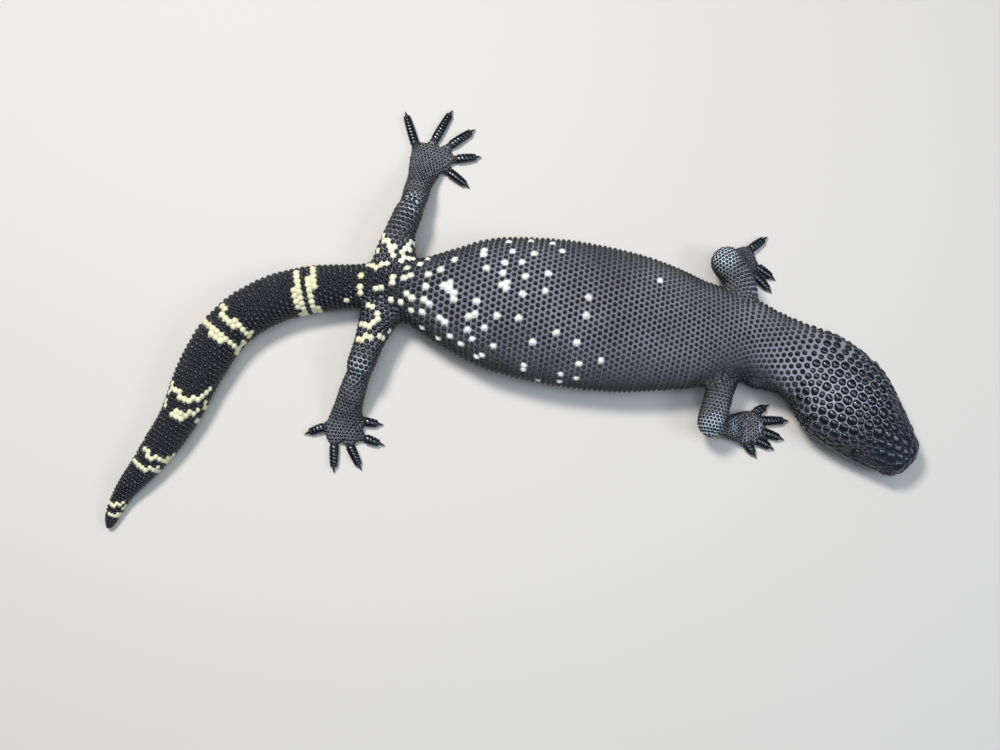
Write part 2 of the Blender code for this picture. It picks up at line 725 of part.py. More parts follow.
def make_leg(name, plan, body, collection, finishes, claw_finish):
    upper = Track(plan["upper"], blunt_end=KNEE_BLUNTNESS)
    lower = Track(plan["lower"])
    near = nearest_place(body, *plan["upper"][0][:2])
    end = upper.length - 0.6
    thigh = beaded_tube(
        f"{name}_upper_leg", upper, 0.0, end, LIMB_BEAD_PITCH, BEAD_RISE * 0.8, collection, finishes,
        calm=lambda point: smoothstep(2.0, 8.0, (point - Vector(plan["lower"][0][:3])).z + 6),
    )
    boolean(thigh, [body_cutter(body, near, collection)], "DIFFERENCE")
    shank = beaded_tube(
        f"{name}_lower_leg", lower, 0.0, plan["ankle"] - GAP / 2, LIMB_BEAD_PITCH, BEAD_RISE * 0.8,
        collection, finishes,
    )
    knee = plain_tube(
        "knee_cutter", upper, evenly(upper.length * 0.3, end, 1.5), 48, collection, [], grow=GAP + BEAD_RISE * 0.4
    )
    boolean(shank, [knee], "DIFFERENCE")
    foot = beaded_tube(
        f"{name}_foot", lower, plan["ankle"] + GAP / 2, lower.length, LIMB_BEAD_PITCH, BEAD_RISE * 0.5,
        collection, finishes,
    )
    digits = []
    for number, (root, tip) in enumerate(plan["digits"], 1):
        digit, claw = make_digit(f"{name}_claw_{number}", root, tip, collection, finishes, claw_finish)
        digits.append(digit)
    boolean(foot, digits, "UNION")


def make_digit(claw_name, root, tip, collection, finishes, claw_finish):
    """A digit's plated stem, its root sunk in the palm, and its claw."""
    away = Vector((tip[0] - root[0], tip[1] - root[1], 0))
    length = away.length
    away.normalize()
    sunk = Vector((*root, 0)) - away * 5.0
    stem_end = length - CLAW_LENGTH
    half, end_half = DIGIT_HALF_WIDTH, DIGIT_TIP_HALF_WIDTH

    def row(along, height, width, rise):
        place = Vector((*root, 0)) + away * along
        return (place.x, place.y, height, width, rise, height * 1.3)

    stem = Track(
        (
            (sunk.x, sunk.y, 2.4, half, 1.6, 2.2),
            row(0.0, 2.6, half, 1.9),
            row(stem_end * 0.5, 2.9, half, 2.1),
            row(stem_end, 2.2, end_half, 1.7),
        )
    )
    plates_from = 5.0
    places = [0.0] + evenly(plates_from, stem.length - GAP / 2, (stem.length - plates_from) / (2 * DIGIT_PLATES))

    def plate(number):
        if number == 0 or number == len(places) - 1:
            return 0.0
        return DIGIT_PLATE_RISE if number % 2 == 0 else -DIGIT_PLATE_RISE

    digit = plain_tube("digit", stem, places, DIGIT_SIDES, collection, finishes, swell=plate)
    claw_track = Track(
        (
            (*(Vector((*root, 0)) + away * (stem_end + GAP / 2)).xy, 2.4, CLAW_HALF_WIDTH, 1.3, 1.3),
            (*(Vector((*root, 0)) + away * (stem_end + CLAW_LENGTH * 0.55)).xy, 2.3, CLAW_HALF_WIDTH * 0.7, 0.9, 0.9),
            (*(Vector((*root, 0)) + away * (length - 0.1)).xy, 1.0, 0.3, 0.3, 0.3),
        )
    )
    claw = plain_tube(
        claw_name, claw_track, evenly(0.0, claw_track.length, claw_track.length / 3), CLAW_SIDES, collection,
        [claw_finish],
    )
    return digit, claw


def main():
    clear_scene()
    lizard = new_collection("Beaded lizard")
    hide = material("Beaded hide", HIDE)
    pale_bead = material("Pale beads", PALE_BEAD)
    claw_finish = material("Claw", CLAW)
    rows = tuple(head_row(*row) for row in HEAD_ROWS) + BODY_ROWS
    body = Track(rows, blunt_start=SNOUT_BLUNTNESS, blunt_end=TAIL_TIP_BLUNTNESS)
    legs = [Track(plan["upper"]) for plan in LEGS.values()]
    calm = calm_near(legs)
    make_head(body, lizard, [hide, pale_bead], material("Eye", EYE))
    ends = [start for _, start, _ in LENGTHS[1:]] + [body.length - 0.2]
    for (name, start, pitch), end in zip(LENGTHS, ends):
        last = end == ends[-1]
        beaded_tube(
            name, body, start + GAP / 2, end if last else end - GAP / 2, pitch, BEAD_RISE, lizard,
            [hide, pale_bead], calm=calm,
        )
    for name, plan in LEGS.items():
        make_leg(name, plan, body, lizard, [hide, pale_bead], claw_finish)


main()
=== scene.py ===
import bisect
import json
import math
import random

import bmesh
import bpy
import numpy as np
from mathutils import Matrix, Vector, noise
from mathutils.bvhtree import BVHTree
from mathutils.kdtree import KDTree

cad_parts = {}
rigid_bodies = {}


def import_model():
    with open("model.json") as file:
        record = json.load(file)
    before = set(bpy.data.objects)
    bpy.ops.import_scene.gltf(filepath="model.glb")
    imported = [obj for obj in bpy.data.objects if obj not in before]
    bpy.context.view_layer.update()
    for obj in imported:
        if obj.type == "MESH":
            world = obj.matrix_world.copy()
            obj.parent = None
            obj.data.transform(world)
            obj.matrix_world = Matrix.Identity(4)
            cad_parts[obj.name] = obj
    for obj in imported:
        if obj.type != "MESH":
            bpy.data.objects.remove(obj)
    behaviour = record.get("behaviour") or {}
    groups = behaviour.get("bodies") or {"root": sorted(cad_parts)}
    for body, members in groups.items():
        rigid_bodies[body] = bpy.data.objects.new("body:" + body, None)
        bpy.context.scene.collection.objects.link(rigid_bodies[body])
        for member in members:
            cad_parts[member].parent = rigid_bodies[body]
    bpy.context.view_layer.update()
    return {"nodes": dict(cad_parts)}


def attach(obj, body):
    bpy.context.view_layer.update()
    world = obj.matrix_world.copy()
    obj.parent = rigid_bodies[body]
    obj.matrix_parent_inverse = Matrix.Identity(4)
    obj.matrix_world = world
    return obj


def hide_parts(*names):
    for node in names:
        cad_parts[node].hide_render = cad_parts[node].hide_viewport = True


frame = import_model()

# Lengths in this file are in millimetres, and become metres where a mesh is made.
mm = 0.001
up = Vector((0.0, 0.0, 1.0))

# Head rows: distance behind the snout tip, height of the widest line, half width, rise and drop from it.
headShape = {
    "snoutTip": (228.4, -92.0),
    "turn": math.radians(-46.5),
    "bluntness": 8.0,
    "rows": (
        (0.0, 15.0, 12.6, 8.6, 7.6), (11.6, 15.5, 16.2, 11.4, 9.0), (23.0, 16.0, 20.4, 15.0, 9.8),
        (32.5, 16.5, 23.6, 17.8, 10.6), (46.0, 17.0, 27.2, 20.4, 11.6), (58.0, 17.5, 28.6, 20.6, 12.6),
        (74.0, 18.0, 25.6, 19.2, 13.4),
    ),
    "mouthLine": ((-4.0, 12.0), (8.0, 12.4), (22.0, 13.2), (36.0, 14.6), (44.0, 16.8)),
    "nostril": (6.5, 72.0),
    "eye": (28.0, 62.0),
    "ear": (61.0, 76.0),
}

# Body and tail rows, nape to tail tip: x, y, height of the widest line, half width, rise and drop from it.
bodyShape = {
    "rows": (
        (169.0, -33.3, 18.5, 23.5, 18.0, 14.6), (150.3, -24.8, 18.5, 22.8, 18.6, 17.8),
        (136.0, -18.6, 18.5, 24.2, 20.6, 20.4), (124.6, -16.4, 18.5, 27.0, 22.4, 21.6),
        (102.0, -14.2, 18.5, 33.6, 25.6, 22.2), (74.4, -9.6, 18.8, 40.0, 28.0, 23.4),
        (41.3, -4.6, 19.0, 42.9, 29.0, 24.0), (8.1, 0.4, 19.0, 41.4, 29.0, 24.0),
        (-13.9, 3.6, 18.5, 37.8, 27.6, 23.0), (-36.0, 6.4, 17.8, 29.0, 24.6, 21.4),
        (-57.8, 10.2, 16.8, 18.6, 20.2, 19.6), (-73.2, 13.0, 15.2, 15.0, 16.6, 17.4),
        (-89.7, 14.2, 14.0, 13.2, 14.2, 15.8), (-117.2, 12.1, 13.6, 14.2, 13.6, 15.6),
        (-139.3, 6.4, 13.5, 14.2, 13.5, 15.5), (-154.9, -2.3, 13.5, 14.2, 13.5, 15.5),
        (-167.9, -14.8, 13.4, 14.1, 13.4, 15.4), (-178.9, -33.0, 12.8, 13.5, 12.8, 14.8),
        (-191.2, -61.4, 11.3, 11.5, 11.2, 13.0), (-208.0, -87.2, 9.2, 9.1, 9.0, 10.6),
        (-224.2, -107.9, 6.2, 6.0, 6.0, 7.2), (-229.3, -118.2, 4.6, 4.9, 4.5, 5.4),
        (-232.4, -127.8, 2.8, 2.9, 2.8, 3.3),
    ),
    "tipBluntness": 5.0,
    "squareness": 2.2,
}

# Legs: rows as for the body. Digits run from where they leave the palm to the tip of the claw.
legShapes = {
    "hindLeft": {
        "upper": (
            (-68.0, 14.0, 16.5, 15.0, 13.5, 15.0), (-67.2, 30.0, 18.0, 13.2, 12.0, 13.0),
            (-64.5, 44.0, 19.3, 9.8, 10.0, 10.5), (-59.6, 57.0, 20.2, 9.1, 9.2, 9.6),
            (-56.8, 65.5, 19.0, 9.0, 9.0, 9.0),
        ),
        "lower": (
            (-58.8, 58.5, 18.0, 7.4, 7.4, 7.4), (-55.8, 70.0, 14.6, 8.3, 7.8, 8.0),
            (-53.4, 81.0, 8.8, 8.6, 6.0, 9.4), (-50.8, 90.0, 5.6, 11.0, 4.4, 7.0),
            (-47.6, 98.0, 4.4, 13.0, 3.4, 5.6), (-46.0, 104.0, 3.4, 11.5, 2.6, 4.4),
        ),
        "digits": (
            ((-38.6, 89.4), (-23.9, 78.0)), ((-34.6, 95.6), (-16.7, 97.8)),
            ((-37.6, 103.4), (-20.4, 115.5)), ((-46.6, 106.0), (-34.5, 127.9)),
            ((-56.6, 103.0), (-63.9, 127.1)),
        ),
    },
    "hindRight": {
        "upper": (
            (-69.0, 8.0, 16.5, 14.0, 13.5, 15.0), (-76.3, -6.0, 18.0, 11.6, 12.0, 12.6),
            (-81.8, -21.0, 19.3, 9.0, 9.8, 10.2), (-85.6, -33.0, 20.2, 8.7, 9.2, 9.6),
            (-88.4, -42.0, 18.8, 8.7, 9.0, 9.0),
        ),
        "lower": (
            (-86.0, -35.5, 17.6, 7.2, 7.2, 7.2), (-90.6, -46.0, 14.0, 8.1, 7.6, 8.0),
            (-94.2, -56.0, 8.6, 8.7, 6.0, 9.2), (-96.0, -63.0, 5.6, 10.4, 4.4, 7.0),
            (-96.9, -70.0, 4.4, 12.0, 3.4, 5.6), (-97.0, -76.0, 3.4, 10.6, 2.6, 4.4),
        ),
        "digits": (
            ((-87.2, -64.0), (-73.8, -66.1)), ((-86.8, -73.4), (-73.0, -78.2)),
            ((-94.4, -76.4), (-86.5, -93.0)), ((-102.6, -75.6), (-102.7, -94.5)),
            ((-106.4, -66.6), (-120.9, -71.8)),
        ),
    },
    "frontLeft": {
        "upper": (
            (131.0, -6.0, 19.0, 11.0, 11.5, 13.0), (135.2, 7.0, 20.4, 9.9, 9.6, 10.2),
            (132.0, 18.0, 20.4, 9.6, 9.6, 9.8), (126.8, 27.0, 19.4, 10.2, 10.2, 10.0),
            (122.0, 35.4, 18.6, 9.9, 9.8, 10.0),
        ),
        "lower": (
            (128.4, 26.5, 13.4, 6.8, 6.6, 6.6), (134.0, 29.5, 10.4, 8.0, 6.4, 8.0),
            (138.6, 31.0, 6.6, 9.8, 4.6, 8.0), (143.8, 32.2, 4.2, 10.2, 3.2, 5.4),
            (147.0, 32.8, 3.2, 8.6, 2.4, 4.2),
        ),
        "digits": (
            ((140.5, 25.4), (142.5, 14.5)), ((143.8, 26.6), (156.6, 12.8)), ((146.0, 30.2), (159.1, 20.6)),
            ((142.6, 38.4), (155.5, 48.1)), ((136.4, 36.0), (124.5, 36.4)),
        ),
    },
    "frontRight": {
        "upper": (
            (126.0, -24.0, 19.0, 11.0, 11.5, 13.0), (123.0, -38.0, 20.2, 9.6, 9.8, 10.2),
            (119.0, -53.0, 20.2, 8.8, 9.2, 9.6), (115.8, -66.0, 19.2, 9.5, 9.8, 9.6),
            (114.0, -75.4, 18.6, 9.3, 9.4, 9.4),
        ),
        "lower": (
            (119.4, -67.0, 13.6, 6.6, 6.6, 6.6), (127.0, -67.8, 10.6, 7.4, 6.2, 8.0),
            (132.6, -68.2, 6.8, 9.4, 4.6, 8.0), (138.6, -68.2, 4.8, 11.4, 3.6, 6.0),
            (144.6, -67.6, 3.4, 10.2, 2.6, 4.4),
        ),
        "digits": (
            ((141.6, -60.0), (152.9, -53.8)), ((145.6, -63.8), (163.9, -63.5)),
            ((145.4, -69.4), (160.9, -75.0)), ((142.4, -74.0), (154.9, -80.9)),
            ((136.8, -75.4), (144.2, -86.0)),
        ),
    },
}
kneeBluntness = 9.0
digitShape = {"halfWidth": 2.7, "tipHalfWidth": 2.15, "clawLength": 3.6, "clawHalfWidth": 1.15}


def smoothstep(low, high, value):
    t = max(0.0, min(1.0, (value - low) / (high - low)))
    return t * t * (3 - 2 * t)


# The value at s of a table of places and values, straight between its rows.
def readTable(table, s):
    for (a, low), (b, high) in zip(table, table[1:]):
        if s <= b:
            return low + (high - low) * max(0.0, (s - a) / (b - a))
    return table[-1][1]


def spaced(start, end, spacing):
    count = max(1, round((end - start) / spacing))
    return [start + (end - start) * k / count for k in range(count + 1)]


def treeOf(points):
    tree = KDTree(len(points))
    for k, point in enumerate(points):
        tree.insert(point, k)
    tree.balance()
    return tree


def linked(name, data):
    thing = bpy.data.objects.new(name, data)
    bpy.context.scene.collection.objects.link(thing)
    return thing


def meshPiece(name, points, faces, material=None):
    mesh = bpy.data.meshes.new(name)
    mesh.from_pydata([tuple(c * mm for c in p) for p in points], [], faces)
    mesh.update()
    mesh.shade_smooth()
    if material:
        mesh.materials.append(material)
    return linked(name, mesh)


# Faces of rings of points, one after the other, closed flat at the foot and flat or in a point at the top.
def closedStack(offset, rings, sides, pointed=False):
    foot = list(range(offset, offset + sides))
    top = [k + (rings - 1) * sides for k in foot]
    faces = [
        (low + k, low + (k + 1) % sides, low + sides + (k + 1) % sides, low + sides + k)
        for low in range(offset, top[0], sides)
        for k in range(sides)
    ]
    if pointed:
        faces += [(top[k], top[(k + 1) % sides], top[-1] + 1) for k in range(sides)]
        return faces + [tuple(reversed(foot))]
    return faces + [tuple(reversed(foot)), tuple(top)]


def faceOutward(mesh):
    builder = bmesh.new()
    builder.from_mesh(mesh)
    bmesh.ops.recalc_face_normals(builder, faces=builder.faces)
    builder.to_mesh(mesh)
    builder.free()


def setAttribute(mesh, name, values, kind="FLOAT", field="value"):
    mesh.attributes.new(name, kind, "POINT").data.foreach_set(field, values)


def setBakeMap(mesh, places):
    layer = mesh.uv_layers.new(name="OFBake")
    layer.data.foreach_set("uv", [c for loop in mesh.loops for c in places[loop.vertex_index]])


def triangles(piece):
    return sum(len(face.vertices) - 2 for face in piece.data.polygons)


# The camera's place is also what the photo's markings are read through.
cameraPlace = {
    "location": (-5.8, -147.27, 701.26),
    "tilt": 9.0,
    "lens": 43.2,
    "sensor": 36.0,
    "size": (1000, 750),
}


def makeCamera(place):
    data = bpy.data.cameras.new("camera")
    data.sensor_width = place["sensor"]
    data.lens = place["lens"]
    data.clip_start = 0.01
    data.clip_end = 20.0
    camera = linked("camera", data)
    camera.location = Vector(place["location"]) * mm
    camera.rotation_euler = (math.radians(place["tilt"]), 0.0, 0.0)
    bpy.context.scene.camera = camera


def pictureRay(place, across, down):
    width, height = place["size"]
    focal = place["lens"] / place["sensor"] * width
    sine = math.sin(math.radians(place["tilt"]))
    cosine = math.cos(math.radians(place["tilt"]))
    ray = Vector(((across - width / 2) / focal, (height / 2 - down) / focal, -1.0))
    turned = Vector((ray.x, ray.y * cosine - ray.z * sine, ray.y * sine + ray.z * cosine))
    return Vector(place["location"]), turned.normalized()


# Tracks: a smooth path of cross sections through rows of x, y, z, half width, rise and drop.
class Track:
    def __init__(self, rows, bluntStart=0.0, bluntEnd=0.0):
        self.rows = rows
        self.bluntStart = bluntStart
        self.bluntEnd = bluntEnd
        self.places = [0.0]
        for before, after in zip(rows, rows[1:]):
            self.places.append(self.places[-1] + math.dist(before[:3], after[:3]))
        self.length = self.places[-1]
        self.slopes = [self.slope(k) for k in range(len(rows))]

    def slope(self, k):
        rows = self.rows
        places = self.places
        low = max(k - 1, 0)
        high = min(k + 1, len(rows) - 1)
        if high - low == 1:
            return [(b - a) / (places[high] - places[low]) for a, b in zip(rows[low], rows[high])]
        before = places[k] - places[low]
        after = places[high] - places[k]
        return [
            ((m - a) / before * after + (b - m) / after * before) / (before + after)
            for a, m, b in zip(rows[low], rows[k], rows[high])
        ]

    def values(self, s):
        k = max(0, min(len(self.rows) - 2, bisect.bisect_right(self.places, s) - 1))
        span = self.places[k + 1] - self.places[k]
        t = (s - self.places[k]) / span
        a, b = self.rows[k], self.rows[k + 1]
        u, v = self.slopes[k], self.slopes[k + 1]
        row = [
            (2 * t**3 - 3 * t**2 + 1) * a[i]
            + (t**3 - 2 * t**2 + t) * span * u[i]
            + (3 * t**2 - 2 * t**3) * b[i]
            + (t**3 - t**2) * span * v[i]
            for i in range(6)
        ]
        ahead = Vector(
            [
                (6 * t**2 - 6 * t) * (a[i] - b[i]) / span
                + (3 * t**2 - 4 * t + 1) * u[i]
                + (3 * t**2 - 2 * t) * v[i]
                for i in range(3)
            ]
        ).normalized()
        return row, ahead

    def fullness(self, s):
        full = 1.0
        for blunt, left in ((self.bluntStart, s), (self.bluntEnd, self.length - s)):
            if blunt and left < blunt:
                full *= math.sqrt(max(0.0, 1 - (1 - left / blunt) ** 2))
        return full

    def ring(self, s, turns, grow=0.0):
        (x, y, z, half, rise, drop), ahead = self.values(s)
        full = self.fullness(s)
        side = Vector((-ahead.y, ahead.x, 0)).normalized()
        lift = ahead.cross(side)
        power = 2 / bodyShape["squareness"]
        points = []
        for turn in turns:
            sine = math.sin(turn)
            cosine = math.cos(turn)
            out = math.copysign(abs(sine) ** power, sine) * max(half * full + grow, 0.15)
            height = rise if cosine > 0 else drop
            high = math.copysign(abs(cosine) ** power, cosine) * max(height * full + grow, 0.15)
            point = Vector((x, y, z)) + side * out + lift * high
            point.z = max(point.z, -grow)
            points.append(point)
        return points


def headRow(behind, height, half, rise, drop):
    x = headShape["snoutTip"][0] - behind * math.cos(headShape["turn"])
    y = headShape["snoutTip"][1] - behind * math.sin(headShape["turn"])
    return (x, y, height, half, rise, drop)


def digitLine(root, tip):
    away = Vector((tip[0] - root[0], tip[1] - root[1], 0))
    return Vector((*root, 0)), away.normalized(), away.length


def digitTrack(root, tip):
    start, away, length = digitLine(root, tip)
    half = digitShape["halfWidth"]
    stem = length - digitShape["clawLength"]

    def row(along, height, width, rise):
        place = start + away * along
        return (place.x, place.y, height, width, rise, height * 1.3)

    return Track(
        (
            row(-5.0, 2.4, half, 1.6),
            row(0.0, 2.6, half, 1.9),
            row(stem * 0.5, 2.9, half, 2.1),
            row(stem + 0.4, 2.2, digitShape["tipHalfWidth"], 1.7),
        ),
        bluntEnd=1.6,
    )


def loft(track, places, sides, grow):
    turns = [2 * math.pi * (k + 0.5) / sides - math.pi for k in range(sides)]
    points = [point for place in places for point in track.ring(place, turns, grow)]
    return points, closedStack(0, len(places), sides)


bodyTrack = Track(
    tuple(headRow(*row) for row in headShape["rows"]) + bodyShape["rows"],
    bluntStart=headShape["bluntness"],
    bluntEnd=bodyShape["tipBluntness"],
)
upperTracks = {name: Track(leg["upper"], bluntEnd=kneeBluntness) for name, leg in legShapes.items()}
lowerTracks = {name: Track(leg["lower"]) for name, leg in legShapes.items()}
digitTracks = {
    name: [digitTrack(root, tip) for root, tip in leg["digits"]] for name, leg in legShapes.items()
}
snoutTip = Vector((*headShape["snoutTip"], 0.0))
headAhead = Vector((math.cos(headShape["turn"]), math.sin(headShape["turn"]), 0.0))
headAside = Vector((-headAhead.y, headAhead.x, 0.0))


def behindTip(point):
    return (snoutTip - point).dot(headAhead)


def mouthHeight(behind):
    return readTable(headShape["mouthLine"], behind)


def headPoint(behind, turnDegrees, grow=0.0):
    return bodyTrack.ring(behind, [math.radians(turnDegrees)], grow)[0]


def headPointAtHeight(behind, height, side, grow=0.0):
    low = 5.0
    high = 175.0
    for _ in range(24):
        middle = (low + high) / 2
        if headPoint(behind, middle, grow).z > height:
            low = middle
        else:
            high = middle
    return headPoint(behind, side * low, grow)


# The skin: lofts of the body, legs and digits fused into one closed surface, then creased and folded.
skinLook = {
    "depth": 1.05,  # how far it lies inside the solids
    "digitDepth": 0.25,
    "voxel": 1.3,
    "sides": {"body": 112, "leg": 48, "digit": 20},
    "steps": {"body": 1.6, "leg": 1.5, "digit": 1.2},
    "bodyCuts": (1.2, 560.0, (562.0, 563.6, 564.8)),  # start, end, and the last ones
    "kneeCuts": (6.0, 4.4, 3.0, 1.9, 1.0, 0.5),  # from the end
    "tipCuts": (1.6, 1.0, 0.5, 0.15),
    "smoothing": (5, 0.35),
    "joinRounds": 26,
    "joinPull": (0.6, 0.06),  # in hollows and elsewhere
    "floorGap": 0.5,
    "unevenness": (0.055, 0.35),
    "mouth": {"depth": 1.5, "width": 0.75, "end": (45.0, 40.0)},
    "eye": {"depth": 2.6, "radius": 2.9},
    "nostril": {"depth": 3.0, "radius": 1.75},
    "ear": {"depth": 2.8, "size": (1.9, 3.7)},
    "headEnd": 75.0,
    "neckFolds": {"places": (92.0, 101.0, 111.0, 119.0), "depth": 0.55, "width": 1.7, "fade": (34.0, 20.0)},
    "lobe": {"centre": (141.0, -43.0, 19.0), "radius": 7.5, "swell": 2.4},
    "lobeFold": {"top": (147.5, -34.0, 33.0), "bottom": (149.5, -45.0, 12.0), "width": 1.9, "depth": 2.3},
}


def featurePlaces():
    found = {}
    for name in ("nostril", "eye", "ear"):
        behind, turn = headShape[name]
        found[name] = [headPoint(behind, turn * side, -skinLook["depth"]) for side in (-1, 1)]
    return found


# Where a track is cut into rings: evenly, then closer towards its rounded end.
def cuts(track, spacing, end, left):
    return spaced(0.0, track.length - end, spacing) + [track.length - short for short in left]


def skinShape():
    depth = skinLook["depth"]
    sides = skinLook["sides"]
    steps = skinLook["steps"]
    start, end, last = skinLook["bodyCuts"]
    lofts = [loft(bodyTrack, spaced(start, end, steps["body"]) + list(last), sides["body"], -depth)]
    for name in legShapes:
        upper = upperTracks[name]
        lower = lowerTracks[name]
        places = cuts(upper, steps["leg"], kneeBluntness, skinLook["kneeCuts"])
        lofts.append(loft(upper, places, sides["leg"], -depth))
        lofts.append(loft(lower, spaced(0.0, lower.length, steps["leg"]), sides["leg"], -depth * 0.75))
        for digit in digitTracks[name]:
            places = cuts(digit, steps["digit"], 2.2, skinLook["tipCuts"])
            lofts.append(loft(digit, places, sides["digit"], -skinLook["digitDepth"]))
    points = []
    faces = []
    for ring, made in lofts:
        faces += [tuple(len(points) + k for k in face) for face in made]
        points += ring
    return points, faces


def remeshed(points, faces, voxel):
    rough = meshPiece("rough", points, faces)
    faceOutward(rough.data)
    modifier = rough.modifiers.new("fuse", "REMESH")
    modifier.mode = "VOXEL"
    modifier.voxel_size = voxel * mm
    graph = bpy.context.evaluated_depsgraph_get()
    mesh = bpy.data.meshes.new_from_object(rough.evaluated_get(graph), depsgraph=graph)
    bpy.data.objects.remove(rough, do_unlink=True)
    return mesh


def refineHead(builder):
    edges = []
    for edge in builder.edges:
        middle = (edge.verts[0].co + edge.verts[1].co) / 2 / mm
        if -2.0 < behindTip(middle) < 66.0:
            edges.append(edge)
    bmesh.ops.subdivide_edges(builder, edges=edges, cuts=1, use_grid_fill=True)
    bmesh.ops.triangulate(builder, faces=[face for face in builder.faces if len(face.verts) > 4])


def headDent(point, features):
    behind = behindTip(point)
    if behind > skinLook["headEnd"]:
        return 0.0
    mouth = skinLook["mouth"]
    gap = (point.z - mouthHeight(behind)) / mouth["width"]
    dent = mouth["depth"] * math.exp(-(gap**2)) * smoothstep(*mouth["end"], behind)
    for name in ("eye", "nostril"):
        look = skinLook[name]
        for place in features[name]:
            dent += look["depth"] * math.exp(-(((point - place).length / look["radius"]) ** 4))
    wide, tall = skinLook["ear"]["size"]
    for place in features["ear"]:
        offset = point - place
        shape = (offset.dot(headAhead) / wide) ** 2 + (offset.z / tall) ** 2
        dent += skinLook["ear"]["depth"] * math.exp(-(shape**2))
    return dent


def bodyDent(point, s):
    dent = 0.0
    folds = skinLook["neckFolds"]
    for place in folds["places"]:
        wave = noise.noise(point * 0.09) * 3.0
        away = (s + wave - place) / folds["width"]
        dent += folds["depth"] * math.exp(-(away**2)) * smoothstep(*folds["fade"], point.z)
    lobe = skinLook["lobe"]
    dent -= lobe["swell"] * math.exp(-(((point - Vector(lobe["centre"])).length / lobe["radius"]) ** 2))
    fold = skinLook["lobeFold"]
    top = Vector(fold["top"])
    line = Vector(fold["bottom"]) - top
    share = max(0.0, min(1.0, (point - top).dot(line) / line.length_squared))
    away = (point - top - line * share).length
    dent += fold["depth"] * math.exp(-((away / fold["width"]) ** 2))
    size, depth = skinLook["unevenness"]
    return dent + noise.noise(point * size) * depth


# Fills the hollows where limbs join the body, and hardly touches the rest.
def softenJoins(points, edges, normals, rounds):
    a = edges[:, 0]
    b = edges[:, 1]
    number = np.zeros(len(points))
    np.add.at(number, a, 1.0)
    np.add.at(number, b, 1.0)
    for _ in range(rounds):
        total = np.zeros_like(points)
        np.add.at(total, a, points[b])
        np.add.at(total, b, points[a])
        pull = total / number[:, None] - points
        hollow = np.einsum("ij,ij->i", pull, normals) > 0.0
        points = points + pull * np.where(hollow, *skinLook["joinPull"])[:, None]
    return points


def meshArrays(mesh):
    found = []
    for things, field, size, kind in (
        (mesh.vertices, "co", 3, np.float32),
        (mesh.vertices, "normal", 3, np.float32),
        (mesh.edges, "vertices", 2, np.int32),
    ):
        values = np.empty(len(things) * size, kind)
        things.foreach_get(field, values)
        found.append(values.reshape(-1, size))
    return found[0].astype(float), found[1].astype(float), found[2]


def placesAlong(track, spacing):
    return [(s, Vector(track.values(s)[0][:3])) for s in spaced(0.0, track.length, spacing)]


def makeSkin(features):
    mesh = remeshed(*skinShape(), skinLook["voxel"])
    builder = bmesh.new()
    builder.from_mesh(mesh)
    refineHead(builder)
    rounds, factor = skinLook["smoothing"]
    axes = {"use_axis_x": True, "use_axis_y": True, "use_axis_z": True}
    for _ in range(rounds):
        bmesh.ops.smooth_vert(builder, verts=builder.verts, factor=factor, **axes)
    builder.to_mesh(mesh)
    builder.free()
    points, normals, edges = meshArrays(mesh)
    points = softenJoins(points, edges, normals, skinLook["joinRounds"])
    line = placesAlong(bodyTrack, 2.0)
    tree = treeOf([place for _, place in line])

    def press(dentAt):
        _, normals, _ = meshArrays(mesh)
        for k, place in enumerate(points):
            points[k] = place - normals[k] * (dentAt(Vector(place / mm)) * mm)
        points[:, 2] = np.maximum(points[:, 2], skinLook["floorGap"] * mm)
        mesh.vertices.foreach_set("co", points.astype(np.float32).ravel())
        mesh.update()

    press(lambda point: 0.0)  # takes over the softened points
    press(lambda point: bodyDent(point, line[tree.find(point)[1]][0]))
    uncreased = Surface(mesh)
    press(lambda point: headDent(point, features))
    mesh.name = "skin"
    mesh.shade_smooth()
    return linked("skin", mesh), uncreased


# A ray or a nearest point on the skin, in millimetres, with the skin's smooth direction there.
class Surface:
    def __init__(self, mesh):
        points, normals, edges = meshArrays(mesh)
        self.points = points / mm
        for _ in range(4):
            spread = normals.copy()
            np.add.at(spread, edges[:, 0], normals[edges[:, 1]])
            np.add.at(spread, edges[:, 1], normals[edges[:, 0]])
            normals = spread / np.linalg.norm(spread, axis=1)[:, None]
        self.normals = normals
        self.faces = [tuple(face.vertices) for face in mesh.polygons]
        self.tree = BVHTree.FromPolygons([Vector(p) for p in self.points], self.faces)

    def nearest(self, point):
        place, _, face, distance = self.tree.find_nearest(point)
        return place, self.direction(face, place), distance

    def direction(self, face, place):
        found = Vector((0, 0, 0))
        for k in self.faces[face]:
            weight = 1.0 / (0.1 + (Vector(self.points[k]) - place).length)
            found += Vector(self.normals[k]) * weight
        return found.normalized()

    def hit(self, start, along):
        place, _, face, _ = self.tree.ray_cast(start, along)
        if place is None:
            return None, None
        return place, self.direction(face, place)


features = featurePlaces()
skin, uncreased = makeSkin(features)
print("skin", triangles(skin))
surface = Surface(skin.data)
chance = random.Random(5)


